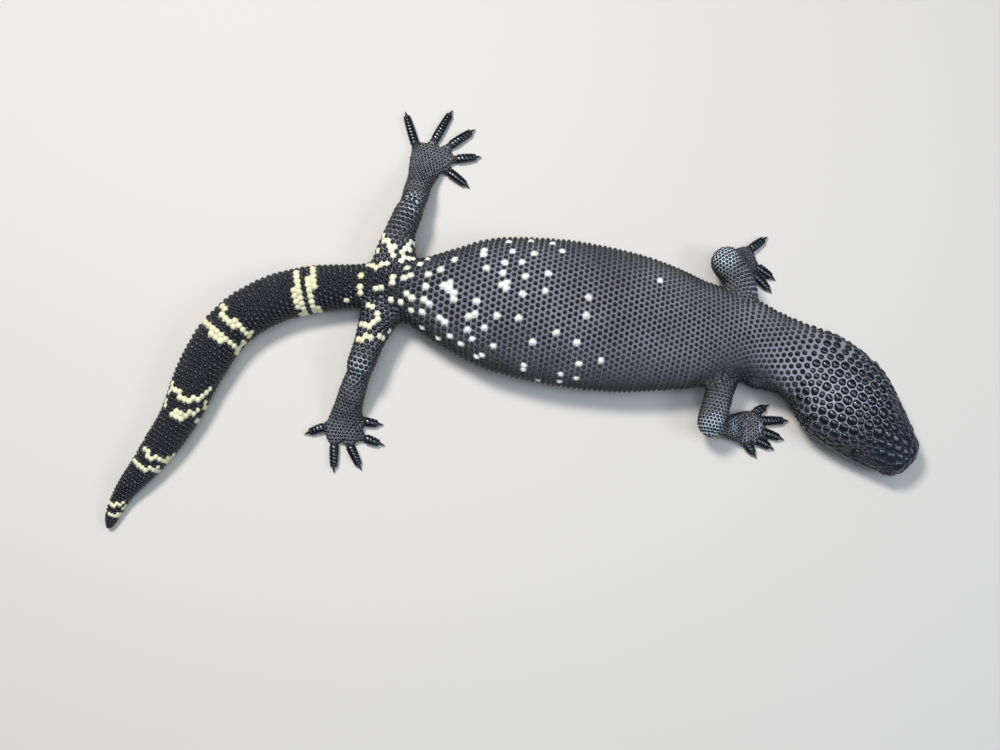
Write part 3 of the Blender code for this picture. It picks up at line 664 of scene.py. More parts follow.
# Seeds: where each bead or plate grows from. Rows run across the body, each half a bead off the one before.
beadLayout = {
    "bodySpacing": (
        (84.0, 4.5), (92.0, 4.0), (100.0, 3.55), (110.0, 3.2), (130.0, 3.05), (165.0, 3.2), (200.0, 3.45),
        (260.0, 3.55), (300.0, 3.9), (345.0, 3.6), (400.0, 3.5), (470.0, 3.2), (530.0, 2.6), (566.0, 1.9),
    ),
    "headSpacing": (
        (0.0, 6.4), (10.0, 6.8), (28.0, 6.4), (40.0, 5.2), (54.0, 5.4), (66.0, 5.1), (76.0, 4.9), (84.0, 4.6),
    ),
    "legSpacing": {
        "hindUpper": ((0.0, 3.3), (30.0, 3.3), (70.0, 2.9)),
        "hindLower": ((0.0, 2.7), (20.0, 2.4), (50.0, 2.1)),
        "frontUpper": ((0.0, 2.9), (20.0, 2.5), (40.0, 2.2), (70.0, 2.1)),
        "frontLower": ((0.0, 2.1), (50.0, 1.95)),
    },
    "fine": (
        ((141.0, -43.0, 19.0), 9.0, 2.15),
        ((155.0, -47.0, 15.0), 11.0, 2.2),
        ((163.0, -58.0, 13.0), 9.0, 2.6),
    ),
    "digitFrom": 10.6,
    "digitClear": 3.0,
    "rings": (  # round what, how many, how far from it, spacing, degrees
        ("eye", 15, 3.95, 1.65, 360.0),
        ("eye", 13, 5.9, 2.5, 360.0),
        ("eye", 7, 8.7, 3.9, 210.0),
        ("nostril", 7, 2.9, 2.4, 360.0),
    ),
    "snoutPlates": ((5.0, 30.0, 8.2), (12.5, 24.0, 6.6)),
    "headEnd": 84.0,
    "rowsFrom": 1.5,
    "rowsTo": 565.5,
    "legEnds": {"Upper": (4.0, 0.4), "Lower": (2.0, 0.2)},  # left free at the start and the end
    "variety": {"head": 0.24, "body": 0.02, "leg": 0.03},
    "rounds": (14, 9),
    "crowded": 0.62,
    "gap": {"head": 0.78, "body": 0.86, "leg": 0.76},
    "openings": (("eye", 2.8), ("nostril", 1.05), ("ear", 1.3)),
    "edges": (("nostril", 0.4), ("ear", 0.7)),
    "labialLength": 5.7,
    "labialHeight": 2.5,
    "widestFilling": 5.4,
    "offSkin": 1.5,
    "push": {"reach": 1.45, "wanted": 1.04, "most": 2.0, "step": 0.22},
}
# Half the width and height of each opening, rim included.
openingReach = {"eye": (3.6, 3.6), "nostril": (1.95, 1.85), "ear": (2.3, 4.4)}


class Seeds:
    fields = ("points", "spacing", "ahead", "region", "unwrap", "pinned")

    def __init__(self):
        for field in self.fields:
            setattr(self, field, [])

    def add(self, point, spacing, ahead, region, unwrap, pinned=False):
        for field, value in zip(self.fields, (Vector(point), spacing, Vector(ahead), region, unwrap, pinned)):
            getattr(self, field).append(value)

    def keep(self, chosen):
        for field in self.fields:
            values = getattr(self, field)
            setattr(self, field, [values[k] for k in chosen])


# Where each track's surface lies when the skin is laid out flat: left and low corner, size per millimetre.
flatScale = 0.98 / 566.4
flatCorners = {"body": (0.01, 0.01)}
for number, legName in enumerate(legShapes):
    for part, low in (("Upper", 0.45), ("Lower", 0.60), ("Digits", 0.75)):
        flatCorners[legName + part] = (0.01 + 0.24 * number, low)


def flatPlace(part, s, reach):
    corner = flatCorners[part]
    return (corner[0] + s * flatScale, corner[1] + reach * flatScale)


def rowsOfSeeds(seeds, track, start, end, table, region, part):
    steps = 96
    variety = beadLayout["variety"][region]
    turns = [2 * math.pi * k / steps for k in range(steps + 1)]
    s = start
    number = 0
    count = 0
    while s < end:
        spacing = readTable(table, s)
        ring = track.ring(s, turns, -skinLook["depth"])
        reach = [0.0]
        for a, b in zip(ring, ring[1:]):
            reach.append(reach[-1] + (b - a).length)
        wanted = reach[-1] / spacing
        if abs(wanted - count) > 1.4:
            count = max(5, 2 * round(wanted / 2))
        ahead = -track.values(s)[1]
        for k in range(count):
            target = ((k + 0.5 * (number % 2)) / count % 1.0) * reach[-1]
            at = max(0, min(steps - 1, bisect.bisect_right(reach, target) - 1))
            t = (target - reach[at]) / max(1e-6, reach[at + 1] - reach[at])
            size = spacing * (1 + chance.uniform(-variety, variety))
            seeds.add(ring[at].lerp(ring[at + 1], t), size, ahead, region, flatPlace(part, s, target))
        s += spacing * 0.866
        number += 1


def mirrored(point):
    return point - headAside * (2 * (point - snoutTip).dot(headAside))


# A line along the lips of one side, above or below the mouth by the offset.
def lipPath(offset):
    path = []
    start = snoutTip - headAhead * 13.0 + up * (12.7 + offset)
    for degrees in range(0, 84, 3):
        turned = headAhead * math.cos(math.radians(degrees)) + headAside * math.sin(math.radians(degrees))
        path.append(surface.hit(start, turned)[0])
    for behind in spaced(14.0, 44.0, 1.0):
        place = headPointAtHeight(behind, mouthHeight(behind) + offset, 1, -skinLook["depth"])
        path.append(place if (place - snoutTip).dot(headAside) > 0.0 else mirrored(place))
    return path


def alongPath(path, spacing):
    found = []
    wanted = spacing
    gone = 0.0
    for a, b in zip(path, path[1:]):
        length = (b - a).length
        while gone + length >= wanted:
            found.append(a.lerp(b, (wanted - gone) / max(length, 1e-6)))
            wanted += spacing
        gone += length
    return found


def headFixedSeeds(seeds):
    def pin(point, spacing):
        aside = (point - snoutTip).dot(headAside)
        flat = flatPlace("body", max(behindTip(point), 0.0), 60.0 + aside)
        seeds.add(point, spacing, headAhead, "head", flat, True)

    length = beadLayout["labialLength"]
    for offset in (beadLayout["labialHeight"], -beadLayout["labialHeight"]):
        path = [uncreased.nearest(point)[0] for point in lipPath(offset)]
        pin(path[0], length)
        for point in alongPath(path, length):
            pin(point, length)
            pin(mirrored(point), length)
    for side in (-1, 1):
        for behind, degrees, spacing in beadLayout["snoutPlates"]:
            pin(headPoint(behind, degrees * side, -skinLook["depth"]), spacing)
    for place, count, away, spacing, spread in beadLayout["rings"]:
        for centre in features[place]:
            point, normal, _ = uncreased.nearest(centre)
            across = normal.cross(up).normalized()
            lift = across.cross(normal)
            for k in range(count):
                turn = math.radians(90.0 + spread * ((k + 0.5) / count - 0.5))
                spot = point + across * (math.cos(turn) * away * 1.08) + lift * (math.sin(turn) * away)
                pin(uncreased.nearest(spot)[0], spacing)


# Whether a place lies in an opening of the head, or nearer to its edge than the margin given for it.
def inOpening(point, margins):
    for name, margin in margins:
        wide, tall = openingReach[name]
        for centre in features[name]:
            offset = point - centre
            flat = max(0.0, offset.length_squared - offset.z**2)
            if flat / (wide + margin) ** 2 + (offset.z / (tall + margin)) ** 2 < 1.0:
                return True
    return False


def thinNearFixed(seeds):
    fixed = [(seeds.points[k], seeds.spacing[k]) for k in range(len(seeds.points)) if seeds.pinned[k]]
    chosen = []
    for k, point in enumerate(seeds.points):
        spacing = seeds.spacing[k]
        clear = all((point - other).length > 0.4 * (spacing + size) for other, size in fixed)
        if seeds.pinned[k] or clear and not inOpening(point, beadLayout["openings"]):
            chosen.append(k)
    seeds.keep(chosen)


# Pushes beads apart that stand too close, and keeps them on the skin.
def relax(seeds, rounds):
    push = beadLayout["push"]
    points = np.array([tuple(p) for p in seeds.points])
    spacing = np.array(seeds.spacing)
    free = ~np.array(seeds.pinned)
    for number in range(rounds):
        if number % 4 == 0:
            tree = treeOf([Vector(p) for p in points])
            pairs = []
            for k, point in enumerate(points):
                for _, other, _ in tree.find_range(Vector(point), spacing[k] * push["reach"]):
                    if other > k:
                        pairs.append((k, other))
            pairs = np.array(pairs)
        a = pairs[:, 0]
        b = pairs[:, 1]
        gap = points[a] - points[b]
        distance = np.maximum(np.linalg.norm(gap, axis=1), 1e-4)
        rest = (spacing[a] + spacing[b]) / 2 * push["wanted"]
        shift = np.clip(rest - distance, 0.0, push["most"]) * push["step"]
        move = gap / distance[:, None] * shift[:, None]
        total = np.zeros_like(points)
        np.add.at(total, a, move)
        np.add.at(total, b, -move)
        points[free] += total[free]
        for k in np.flatnonzero(free):
            points[k] = uncreased.tree.find_nearest(Vector(points[k]))[0]
    seeds.points = [Vector(p) for p in points]


def digitTree():
    line = []
    for tracks in digitTracks.values():
        for track in tracks:
            line += [place for s, place in placesAlong(track, 1.0) if s > beadLayout["digitFrom"]]
    return treeOf(line)


def crowds(point, others, least):
    return any((point - other).length < least for other in others)


def shuffledPlaces():
    places = [Vector(point) for point in surface.points]
    chance.shuffle(places)
    return places


def fineSeeds(seeds):
    tree = treeOf(seeds.points)
    places = shuffledPlaces()
    for centre, radius, spacing in beadLayout["fine"]:
        added = []
        for point in places:
            if (point - Vector(centre)).length > radius or crowds(point, added, spacing * 0.9):
                continue
            _, near, distance = tree.find(point)
            if distance >= (seeds.spacing[near] + spacing) * 0.42:
                added.append(point)
                seeds.add(point, spacing, seeds.ahead[near], "body", seeds.unwrap[near])


def fillGaps(seeds):
    tree = treeOf(seeds.points)
    digits = digitTree()
    added = []
    for point in shuffledPlaces():
        _, near, distance = tree.find(point)
        spacing = min(seeds.spacing[near], beadLayout["widestFilling"])
        wide = beadLayout["gap"][seeds.region[near]] * spacing
        if distance < wide or digits.find(point)[2] < beadLayout["digitClear"]:
            continue
        if inOpening(point, beadLayout["openings"]) or crowds(point, added, wide):
            continue
        added.append(point)
        seeds.add(point, spacing * 0.92, seeds.ahead[near], seeds.region[near], seeds.unwrap[near])
    return len(added)


def makeSeeds():
    look = beadLayout
    seeds = Seeds()
    headFixedSeeds(seeds)
    rowsOfSeeds(seeds, bodyTrack, look["rowsFrom"], look["headEnd"], look["headSpacing"], "head", "body")
    thinNearFixed(seeds)
    rowsOfSeeds(seeds, bodyTrack, look["headEnd"] + 0.5, look["rowsTo"], look["bodySpacing"], "body", "body")
    for name in legShapes:
        kind = "hind" if name.startswith("hind") else "front"
        for part, track in (("Upper", upperTracks[name]), ("Lower", lowerTracks[name])):
            start, left = look["legEnds"][part]
            table = look["legSpacing"][kind + part]
            rowsOfSeeds(seeds, track, start, track.length - left, table, "leg", name + part)
    digits = digitTree()

    def stays(point):
        if any((point - Vector(centre)).length < radius for centre, radius, _ in look["fine"]):
            return False
        return surface.nearest(point)[2] < look["offSkin"] and digits.find(point)[2] > look["digitClear"]

    seeds.keep([k for k, point in enumerate(seeds.points) if seeds.pinned[k] or stays(point)])
    fineSeeds(seeds)
    relax(seeds, look["rounds"][0])
    tree = treeOf(seeds.points)
    gone = set()
    for k, point in enumerate(seeds.points):
        near = tree.find_range(point, seeds.spacing[k] * look["crowded"])
        if not seeds.pinned[k] and any(other != k and other not in gone for _, other, _ in near):
            gone.add(k)
    seeds.keep([k for k in range(len(seeds.points)) if k not in gone])
    added = fillGaps(seeds)
    relax(seeds, look["rounds"][1])
    free = [not inOpening(point, look["edges"]) for point in seeds.points]
    seeds.keep([k for k in range(len(seeds.points)) if seeds.pinned[k] or free[k]])
    print("seeds", len(seeds.points), "crowded", len(gone), "filled", added)
    return seeds


seeds = makeSeeds()


# Markings, read off the photo: places across and down the picture. A spot is one bead, a ring a narrow band.
markings = {
    "spots": (
        (489, 240.5), (509, 242), (533, 241.5), (550.6, 243), (487, 250), (512, 250.6), (483.6, 256.7),
        (532, 253.7), (456.8, 248.5), (452.6, 260.6), (504, 261.5), (520, 261.3), (438.8, 269.4),
        (484, 269.3), (428.7, 273), (503, 270.7), (562, 251), (527, 275.5), (547.7, 274), (405.5, 276),
        (410, 276.5), (425.4, 285.8), (499, 283), (505, 281), (504, 287.5), (544.6, 288), (588.5, 295.2),
        (521.7, 296), (658.8, 280.3), (407, 291), (409.5, 296), (477.5, 302), (425.6, 301.8), (430, 304),
        (470.5, 315), (475, 313), (496.6, 315.3), (517, 317), (584.5, 313.5), (400, 305), (413, 313),
        (419, 313), (440, 318), (443.5, 322), (420, 324.6), (486.5, 326), (556.5, 330.6), (469, 330),
        (470.4, 338.4), (448.8, 334.4), (439.5, 337), (492.8, 345.7), (462, 343), (532.5, 344),
        (575.3, 344), (475, 354), (481, 356), (523.4, 367), (522.4, 370.6), (580.6, 364.4), (600.7, 361),
        (560, 375), (560.3, 380), (576, 380), (458, 354.5), (537, 378.8), (363.4, 276.3), (360.3, 286),
        (360.3, 291), (375.5, 287), (380, 287), (391.3, 275), (391.3, 280), (348.5, 299.6),
        (389.4, 299.2), (368, 307), (371, 309), (379, 251.7), (423, 263), (429, 259), (169, 394),
        (166.4, 401.5), (165, 406.6), (379, 335.3), (383.6, 340.4),
    ),
    "lines": (
        ((445, 283), (449.5, 285.5), (454.5, 291), (453, 296), (449.7, 299.4)),
        ((384.6, 236), (386, 241), (392, 247), (394, 253.6)), ((401.8, 249.7), (409, 248.5), (413.6, 242)),
        ((402, 259), (411.7, 257.4)), ((404.6, 267.6), (409, 266.3)),
        ((369.6, 264.4), (376.6, 266.3), (386.3, 262)), ((375.3, 315.5), (376, 318)),
        ((373.4, 320.6), (368.3, 323.8), (363.8, 326.4), (360, 324.8)),
        ((357.4, 341), (364.4, 338.5), (368.3, 337.2)), ((389.3, 330.8), (393.8, 332.7)),
    ),
    "rings": (
        ((316, 264), (310.6, 273), (311.4, 286), (310.6, 298), (314.4, 305), (321, 309)),
        ((295, 274), (295, 280), (296.4, 291), (298.4, 302.7), (302, 309.6), (306.8, 312.6)),
        ((220, 302), (225.7, 318), (238.5, 327), (251, 335)),
        ((204.7, 318), (211, 331), (221.9, 338.7), (239.7, 347)),
        ((170.8, 383.6), (184.8, 401), (196, 400), (210.4, 390.6)), ((172, 412), (184.8, 418), (199, 410)),
        ((145.5, 446.6), (151, 458.7), (164.6, 460), (174, 453.6)),
        ((134.6, 459.3), (143.6, 469.5), (156.3, 469)), ((106.6, 499.5), (114, 504.6), (123, 503.3)),
        ((104.7, 510.4), (111.7, 516), (119.3, 514)),
    ),
    "ringPlaces": (373.3, 382.3, 427.6, 436.7, 476.9, 485.1, 512.0, 520.0, 549.7, 555.4),
    "tail": (340.0, 566.0, 0.5),  # where its rings go on below: start, end, step
    "underReach": 1.7,
    "ringReach": 0.5,
}


def placesOn(line, spacing):
    places = []
    for a, b in zip(line, line[1:]):
        count = max(1, round(math.dist(a, b) / spacing))
        places += [(a[0] + (b[0] - a[0]) * k / count, a[1] + (b[1] - a[1]) * k / count) for k in range(count)]
    return places + [line[-1]]


def paleSeeds(seeds):
    pale = [0.0] * len(seeds.points)
    tree = treeOf(seeds.points)

    def mark(across, down, reach):
        place, _ = surface.hit(*pictureRay(cameraPlace, across, down))
        if place is not None:
            pale[tree.find(place)[1]] = 1.0
            for _, k, _ in tree.find_range(place, reach):
                pale[k] = 1.0

    for across, down in markings["spots"]:
        mark(across, down, 0.0)
    for kind, reach, spacing in (("lines", 0.0, 3.0), ("rings", markings["ringReach"], 2.0)):
        for line in markings[kind]:
            for across, down in placesOn(line, spacing):
                mark(across, down, reach)
    start, end, step = markings["tail"]
    tail = treeOf([Vector(bodyTrack.values(s)[0][:3]) for s in spaced(start, end, step)])
    for k, point in enumerate(seeds.points):
        if seeds.region[k] != "body" or surface.nearest(point)[1].z > 0.3:
            continue
        _, number, distance = tail.find(point)
        if distance > 20.0:
            continue
        s = start + number * step + noise.noise(point * 0.3) * 1.2
        if any(abs(s - ring) < markings["underReach"] for ring in markings["ringPlaces"]):
            pale[k] = 1.0
    return pale


pale = paleSeeds(seeds)
print("pale beads", int(sum(pale)))


# How far the grey skin shows between beads, with painted top light and painted shade: start and end of each
# change, and the shares there.
wearAndPaintedLightLook = {
    "upward": (-0.1, 0.75, 0.18, 1.0),  # how far the skin faces up: painted top light, the skin lighter where it faces up
    "snout": (10.0, 60.0, 0.12, 1.0),  # how far behind its tip
    "neck": (84.0, 112.0, 0.95, 0.5),
    "tail": (-78.0, -40.0, 0.05, 1.0),  # how far ahead of the middle
    "digit": (4.2, 7.5, 0.1, 1.35),  # how far from a digit, on the legs
    "lobe": (9.0, 22.0, 0.25, 1.0),  # how far from its centre: painted shade, the skin darker in the fold in front of the right foreleg
    "patches": (  # bare skin with painted bluish sheen on the elbows, painted sheen on the knees, and a lighter wrist: centre, radius, strength
        ((115.2, -71.0, 22.0), 12.5, 1.0), ((123.5, 31.5, 24.0), 14.0, 1.0), ((131.0, -67.0, 14.0), 9.0, 0.5),
        ((-57.5, 62.5, 26.0), 10.0, 0.6), ((-87.5, -38.0, 26.0), 10.0, 0.55),
    ),
    "paleEdge": (0.6, 0.5),  # how far from a pale bead, as shares of its spacing
}


def worn(name, value):
    start, end, first, last = wearAndPaintedLightLook[name]
    return first + (last - first) * smoothstep(start, end, value)


# Paints the skin: pale markings, bare skin with painted sheen, and the grey share with painted top light and
# painted shade in the neck fold.
def paintSkin():
    tree = treeOf(seeds.points)
    digits = digitTree()
    lobe = Vector(skinLook["lobe"]["centre"])
    layers = {name: np.zeros(len(surface.points), np.float32) for name in ("pale", "bare", "worn")}
    for k, point in enumerate(surface.points):
        place = Vector(point)
        _, near, distance = tree.find(place)
        if pale[near]:
            layers["pale"][k] = smoothstep(*wearAndPaintedLightLook["paleEdge"], distance / seeds.spacing[near])
        for centre, radius, strength in wearAndPaintedLightLook["patches"]:
            bare = strength * smoothstep(radius, radius * 0.45, (place - Vector(centre)).length)
            layers["bare"][k] = max(layers["bare"][k], bare)
        onLeg = seeds.region[near] == "leg"
        share = worn("digit", digits.find(place)[2]) if onLeg else worn("tail", place.x)
        behind = behindTip(place)
        # Painted top light: the skin lighter where it faces up.
        share *= worn("upward", surface.normals[k][2]) * worn("snout", behind) * worn("neck", behind)
        # Painted shade: the skin darker round the fold in front of the right foreleg.
        layers["worn"][k] = share * worn("lobe", (place - lobe).length)
    for name, values in layers.items():
        setAttribute(skin.data, name, values)


paintSkin()


# Materials. These make nodes, and most give back the output that goes on to the next node.
def feed(tree, node, inputs):
    for name, value in inputs.items():
        if isinstance(value, bpy.types.NodeSocket):
            tree.links.new(value, node.inputs[name])
        else:
            node.inputs[name].default_value = value


def addNode(tree, kind, inputs=(), **settings):
    node = tree.nodes.new(kind)
    for name, value in settings.items():
        setattr(node, name, value)
    feed(tree, node, dict(inputs))
    return node


def placeOf(tree):
    return addNode(tree, "ShaderNodeTexCoord").outputs["Object"]


def attributeOf(tree, name):
    return addNode(tree, "ShaderNodeAttribute", attribute_name=name).outputs["Fac"]


def noiseOf(tree, place, scale, detail):
    inputs = {"Vector": place, "Scale": scale, "Detail": detail}
    return addNode(tree, "ShaderNodeTexNoise", inputs).outputs["Fac"]


def rangeOf(tree, value, start, end, low=0.0, high=1.0):
    inputs = {"Value": value, "From Min": start, "From Max": end, "To Min": low, "To Max": high}
    return addNode(tree, "ShaderNodeMapRange", inputs).outputs["Result"]


def mixOf(tree, share, a, b, kind="RGBA"):
    inputs = {"Factor": share, "A": a, "B": b}
    return addNode(tree, "ShaderNodeMix", inputs, data_type=kind).outputs["Result"]


def productOf(tree, a, b):
    return addNode(tree, "ShaderNodeMath", {0: a, 1: b}, operation="MULTIPLY").outputs["Value"]


def rampOf(tree, value, *stops):
    ramp = addNode(tree, "ShaderNodeValToRGB", {"Fac": value})
    for stop, (place, colour) in zip(ramp.color_ramp.elements, stops):
        stop.position = place
        stop.color = colour
    return ramp.outputs["Color"]


def bumpOf(tree, height, strength, depth, invert=False):
    inputs = {"Height": height, "Strength": strength, "Distance": depth * mm}
    return addNode(tree, "ShaderNodeBump", inputs, invert=invert).outputs["Normal"]


def newMaterial(name):
    made = bpy.data.materials.new(name)
    made.use_nodes = True
    return made, made.node_tree, made.node_tree.nodes["Principled BSDF"]


# The markings are one shared group, so that beads and skin turn pale alike.
markingLook = {
    "white": (0.95, 0.94, 0.86, 1.0),
    "cream": (0.86, 0.80, 0.53, 1.0),
    "turnsCream": (-0.035, -0.085),
    "grain": (180.0, 3.0),
    "shade": (0.3, 0.6, 0.75),
}


def markingGroup():
    tree = bpy.data.node_groups.new("markings", "ShaderNodeTree")
    sockets = (("Base", "INPUT", "Color"), ("Pale", "INPUT", "Float"), ("Color", "OUTPUT", "Color"))
    for name, way, kind in sockets:
        tree.interface.new_socket(name=name, in_out=way, socket_type="NodeSocket" + kind)
    entry = addNode(tree, "NodeGroupInput").outputs
    place = placeOf(tree)
    along = addNode(tree, "ShaderNodeSeparateXYZ", {"Vector": place}).outputs["X"]
    toTail = rangeOf(tree, along, *markingLook["turnsCream"])
    cream = mixOf(tree, toTail, markingLook["white"], markingLook["cream"])
    grain = rangeOf(tree, noiseOf(tree, place, *markingLook["grain"]), *markingLook["shade"])
    shaded = addNode(tree, "ShaderNodeVectorMath", {"Vector": cream, "Scale": grain}, operation="SCALE")
    colour = mixOf(tree, entry["Pale"], entry["Base"], shaded.outputs["Vector"])
    addNode(tree, "NodeGroupOutput", {"Color": colour})
    return tree


markingsShared = markingGroup()


def marked(tree, base, share):
    inputs = {"Base": base, "Pale": share}
    return addNode(tree, "ShaderNodeGroup", inputs, node_tree=markingsShared).outputs["Color"]


hideLook = {
    "dark": (0.006, 0.007, 0.011, 1.0),
    "light": (0.385, 0.378, 0.44, 1.0),
    "rust": (0.13, 0.075, 0.066, 1.0),
    # Bare skin colour, bluish and pale to paint the sheen on elbows and knees.
    "bare": (0.70, 0.82, 0.92, 1.0),
    "roughness": 0.72,
    "unevenNoise": (22.0, 4.0),
    "uneven": (0.3, 0.6, 0.55),
    "rustNoise": (60.0, 2.0),
    "rusty": (0.56, 0.74),
    "grains": 1400.0,
    "grainBump": (0.6, 0.35),  # strength and depth
}


def hideMaterial():
    look = hideLook
    made, tree, shader = newMaterial("hide")
    place = placeOf(tree)
    uneven = rangeOf(tree, noiseOf(tree, place, *look["unevenNoise"]), *look["uneven"])
    # The grey share holds painted top light and painted shade in the neck fold.
    share = productOf(tree, uneven, attributeOf(tree, "worn"))
    grey = rampOf(tree, share, (0.0, look["dark"]), (1.0, look["light"]))
    rusty = productOf(tree, rangeOf(tree, noiseOf(tree, place, *look["rustNoise"]), *look["rusty"]), share)
    rust = mixOf(tree, rusty, grey, look["rust"])
    # Bare skin and painted bluish sheen on the elbows and knees.
    colour = mixOf(tree, attributeOf(tree, "bare"), rust, look["bare"])
    grains = addNode(tree, "ShaderNodeTexVoronoi", {"Vector": place, "Scale": look["grains"]})
    bump = bumpOf(tree, grains.outputs["Distance"], *look["grainBump"], invert=True)
    colour = marked(tree, colour, attributeOf(tree, "pale"))
    feed(tree, shader, {"Base Color": colour, "Roughness": look["roughness"], "Normal": bump})
    return made


beadLook = {
    # Snout: a bluish black for the head and digit plates, a painted bluish sheen.
    "snout": (0.009, 0.0145, 0.028, 1.0),
    "snoutRoughness": 0.25,
    "black": (0.0018, 0.0030, 0.0062, 1.0),
    "worn": (0.005, 0.006, 0.010, 1.0),
    "roughness": 0.16,
    "paleRoughness": 0.42,
    "shine": 1.54,
    "wearNoise": (70.0, 3.0),
    "wrinkles": (620.0, 4.0),
    "wrinkleBump": (0.7, 0.13),  # strength and depth
}


def beadMaterial():
    look = beadLook
    made, tree, shader = newMaterial("bead")
    place = placeOf(tree)
    snout = attributeOf(tree, "snout")
    share = attributeOf(tree, "pale")
    wear = noiseOf(tree, place, *look["wearNoise"])
    black = rampOf(tree, wear, (0.35, look["black"]), (0.7, look["worn"]))
    # Painted bluish sheen where the snout share is set, with its own roughness.
    colour = marked(tree, mixOf(tree, snout, black, look["snout"]), share)
    gloss = rangeOf(tree, share, 0.0, 1.0, look["roughness"], look["paleRoughness"])
    satin = mixOf(tree, snout, gloss, look["snoutRoughness"], "FLOAT")
    bump = bumpOf(tree, noiseOf(tree, place, *look["wrinkles"]), *look["wrinkleBump"])
    feed(tree, shader, {"Base Color": colour, "Roughness": satin, "IOR": look["shine"], "Normal": bump})
    return made


plainLook = {
    "claw": {"Base Color": (0.020, 0.014, 0.011, 1.0), "Roughness": 0.28},
    "eye": {"Base Color": (0.006, 0.005, 0.004, 1.0), "Roughness": 0.05},
    "floor": {"Base Color": (0.66, 0.61, 0.56, 1.0), "Roughness": 0.85},
}


def plainMaterial(name):
    made, tree, shader = newMaterial(name)
    feed(tree, shader, plainLook[name])
    return made


beadFinish = beadMaterial()
clawFinish = plainMaterial("claw")
eyeFinish = plainMaterial("eye")
skin.data.materials.clear()
skin.data.materials.append(hideMaterial())


# A closed piece with its faces turned outward and one share all over for each attribute named.
def closedPiece(name, points, faces, material, **shares):
    piece = meshPiece(name, points, faces, material)
    faceOutward(piece.data)
    for attribute, share in shares.items():
        setAttribute(piece.data, attribute, [share] * len(points))
    return piece


# Bead shapes: low domes with slightly uneven outlines, and flat plates for the belly.
domeShape = {
    "sides": 10,
    "rings": ((1.06, -0.42), (1.0, 0.05), (0.86, 0.42), (0.58, 0.74), (0.26, 0.93)),
    "top": 0.98,
    "kinds": 6,
    "unevenness": 0.06,
}
plateShape = {
    "sides": 12,
    "rings": ((1.0, -0.5), (1.0, 0.1), (0.93, 0.32), (0.62, 0.46), (0.3, 0.5)),
    "top": 0.5,
    "kinds": 2,
    "squareness": 5.0,
}
bakePatch = 0.003  # how large one bead or plate lies in the flat layout


def beadTemplates():
    collection = bpy.data.collections.new("beadShapes")
    bpy.context.scene.collection.children.link(collection)
    dice = random.Random(9)
    for number in range(domeShape["kinds"] + plateShape["kinds"]):
        isPlate = number >= domeShape["kinds"]
        shape = plateShape if isPlate else domeShape
        sides = shape["sides"]
        spread = [1 + dice.uniform(-domeShape["unevenness"], domeShape["unevenness"]) for _ in range(sides)]
        points = []
        for radius, height in shape["rings"]:
            for k in range(sides):
                turn = 2 * math.pi * (k + 0.5) / sides
                reach = radius * spread[k]
                if isPlate:
                    power = plateShape["squareness"]
                    reach /= (abs(math.cos(turn)) ** power + abs(math.sin(turn)) ** power) ** (1 / power)
                points.append((math.cos(turn) * reach, math.sin(turn) * reach, height))
        points.append((0.0, 0.0, shape["top"]))
        mesh = bpy.data.meshes.new(f"beadShape{number:02d}")
        mesh.from_pydata(points, [], closedStack(0, len(shape["rings"]), sides, True))
        mesh.shade_smooth()
        patches = [c for p in points for c in (p[0] * 0.5, p[1] * 0.5, 0.0)]
        setAttribute(mesh, "patch", patches, "FLOAT_VECTOR", "vector")
        piece = bpy.data.objects.new(mesh.name, mesh)
        piece.hide_render = True
        collection.objects.link(piece)
    return collection


# Sets a shape on each point, turned and sized by the point's own values, and lays it out flat for baking.
def beadTree(collection, material):
    tree = bpy.data.node_groups.new("beadsOnPoints", "GeometryNodeTree")
    tree.interface.new_socket(name="Geometry", in_out="INPUT", socket_type="NodeSocketGeometry")
    sockets = []
    for name, usual in (("Size", 1.0), ("Patch", bakePatch)):
        socket = tree.interface.new_socket(name=name, in_out="INPUT", socket_type="NodeSocketFloat")
        socket.default_value = usual
        sockets.append(socket.identifier)
    tree.interface.new_socket(name="Geometry", in_out="OUTPUT", socket_type="NodeSocketGeometry")
    entry = addNode(tree, "NodeGroupInput").outputs

    def named(name, kind="FLOAT_VECTOR"):
        node = addNode(tree, "GeometryNodeInputNamedAttribute", {"Name": name}, data_type=kind)
        return node.outputs["Attribute"]

    def vectorOf(operation, inputs):
        return addNode(tree, "ShaderNodeVectorMath", inputs, operation=operation).outputs["Vector"]

    inputs = {"Collection": collection, "Separate Children": True, "Reset Children": True}
    shapes = addNode(tree, "GeometryNodeCollectionInfo", inputs)
    turn = addNode(tree, "FunctionNodeEulerToRotation", {"Euler": named("turn")})
    inputs = {
        "Points": entry["Geometry"],
        "Instance": shapes.outputs["Instances"],
        "Pick Instance": True,
        "Instance Index": named("kind", "INT"),
        "Rotation": turn.outputs["Rotation"],
        "Scale": vectorOf("SCALE", {0: named("size"), "Scale": entry["Size"]}),
    }
    placed = addNode(tree, "GeometryNodeInstanceOnPoints", inputs)
    real = addNode(tree, "GeometryNodeRealizeInstances", {"Geometry": placed.outputs["Instances"]})
    patch = vectorOf("SCALE", {0: named("patch"), "Scale": entry["Patch"]})
    flat = vectorOf("ADD", {0: patch, 1: named("root")})
    inputs = {"Geometry": real.outputs["Geometry"], "Name": "OFBake", "Value": flat}
    store = addNode(tree, "GeometryNodeStoreNamedAttribute", inputs, data_type="FLOAT2", domain="CORNER")
    inputs = {"Geometry": store.outputs["Geometry"], "Material": material}
    finish = addNode(tree, "GeometryNodeSetMaterial", inputs)
    addNode(tree, "NodeGroupOutput", {"Geometry": finish.outputs["Geometry"]})
    return tree, sockets


def keepAboveFloor(mesh, gap=0.02):
    points = np.empty(len(mesh.vertices) * 3, np.float32)
    mesh.vertices.foreach_get("co", points)
    points[2::3] = np.maximum(points[2::3], gap * mm)
    mesh.vertices.foreach_set("co", points)
    mesh.update()


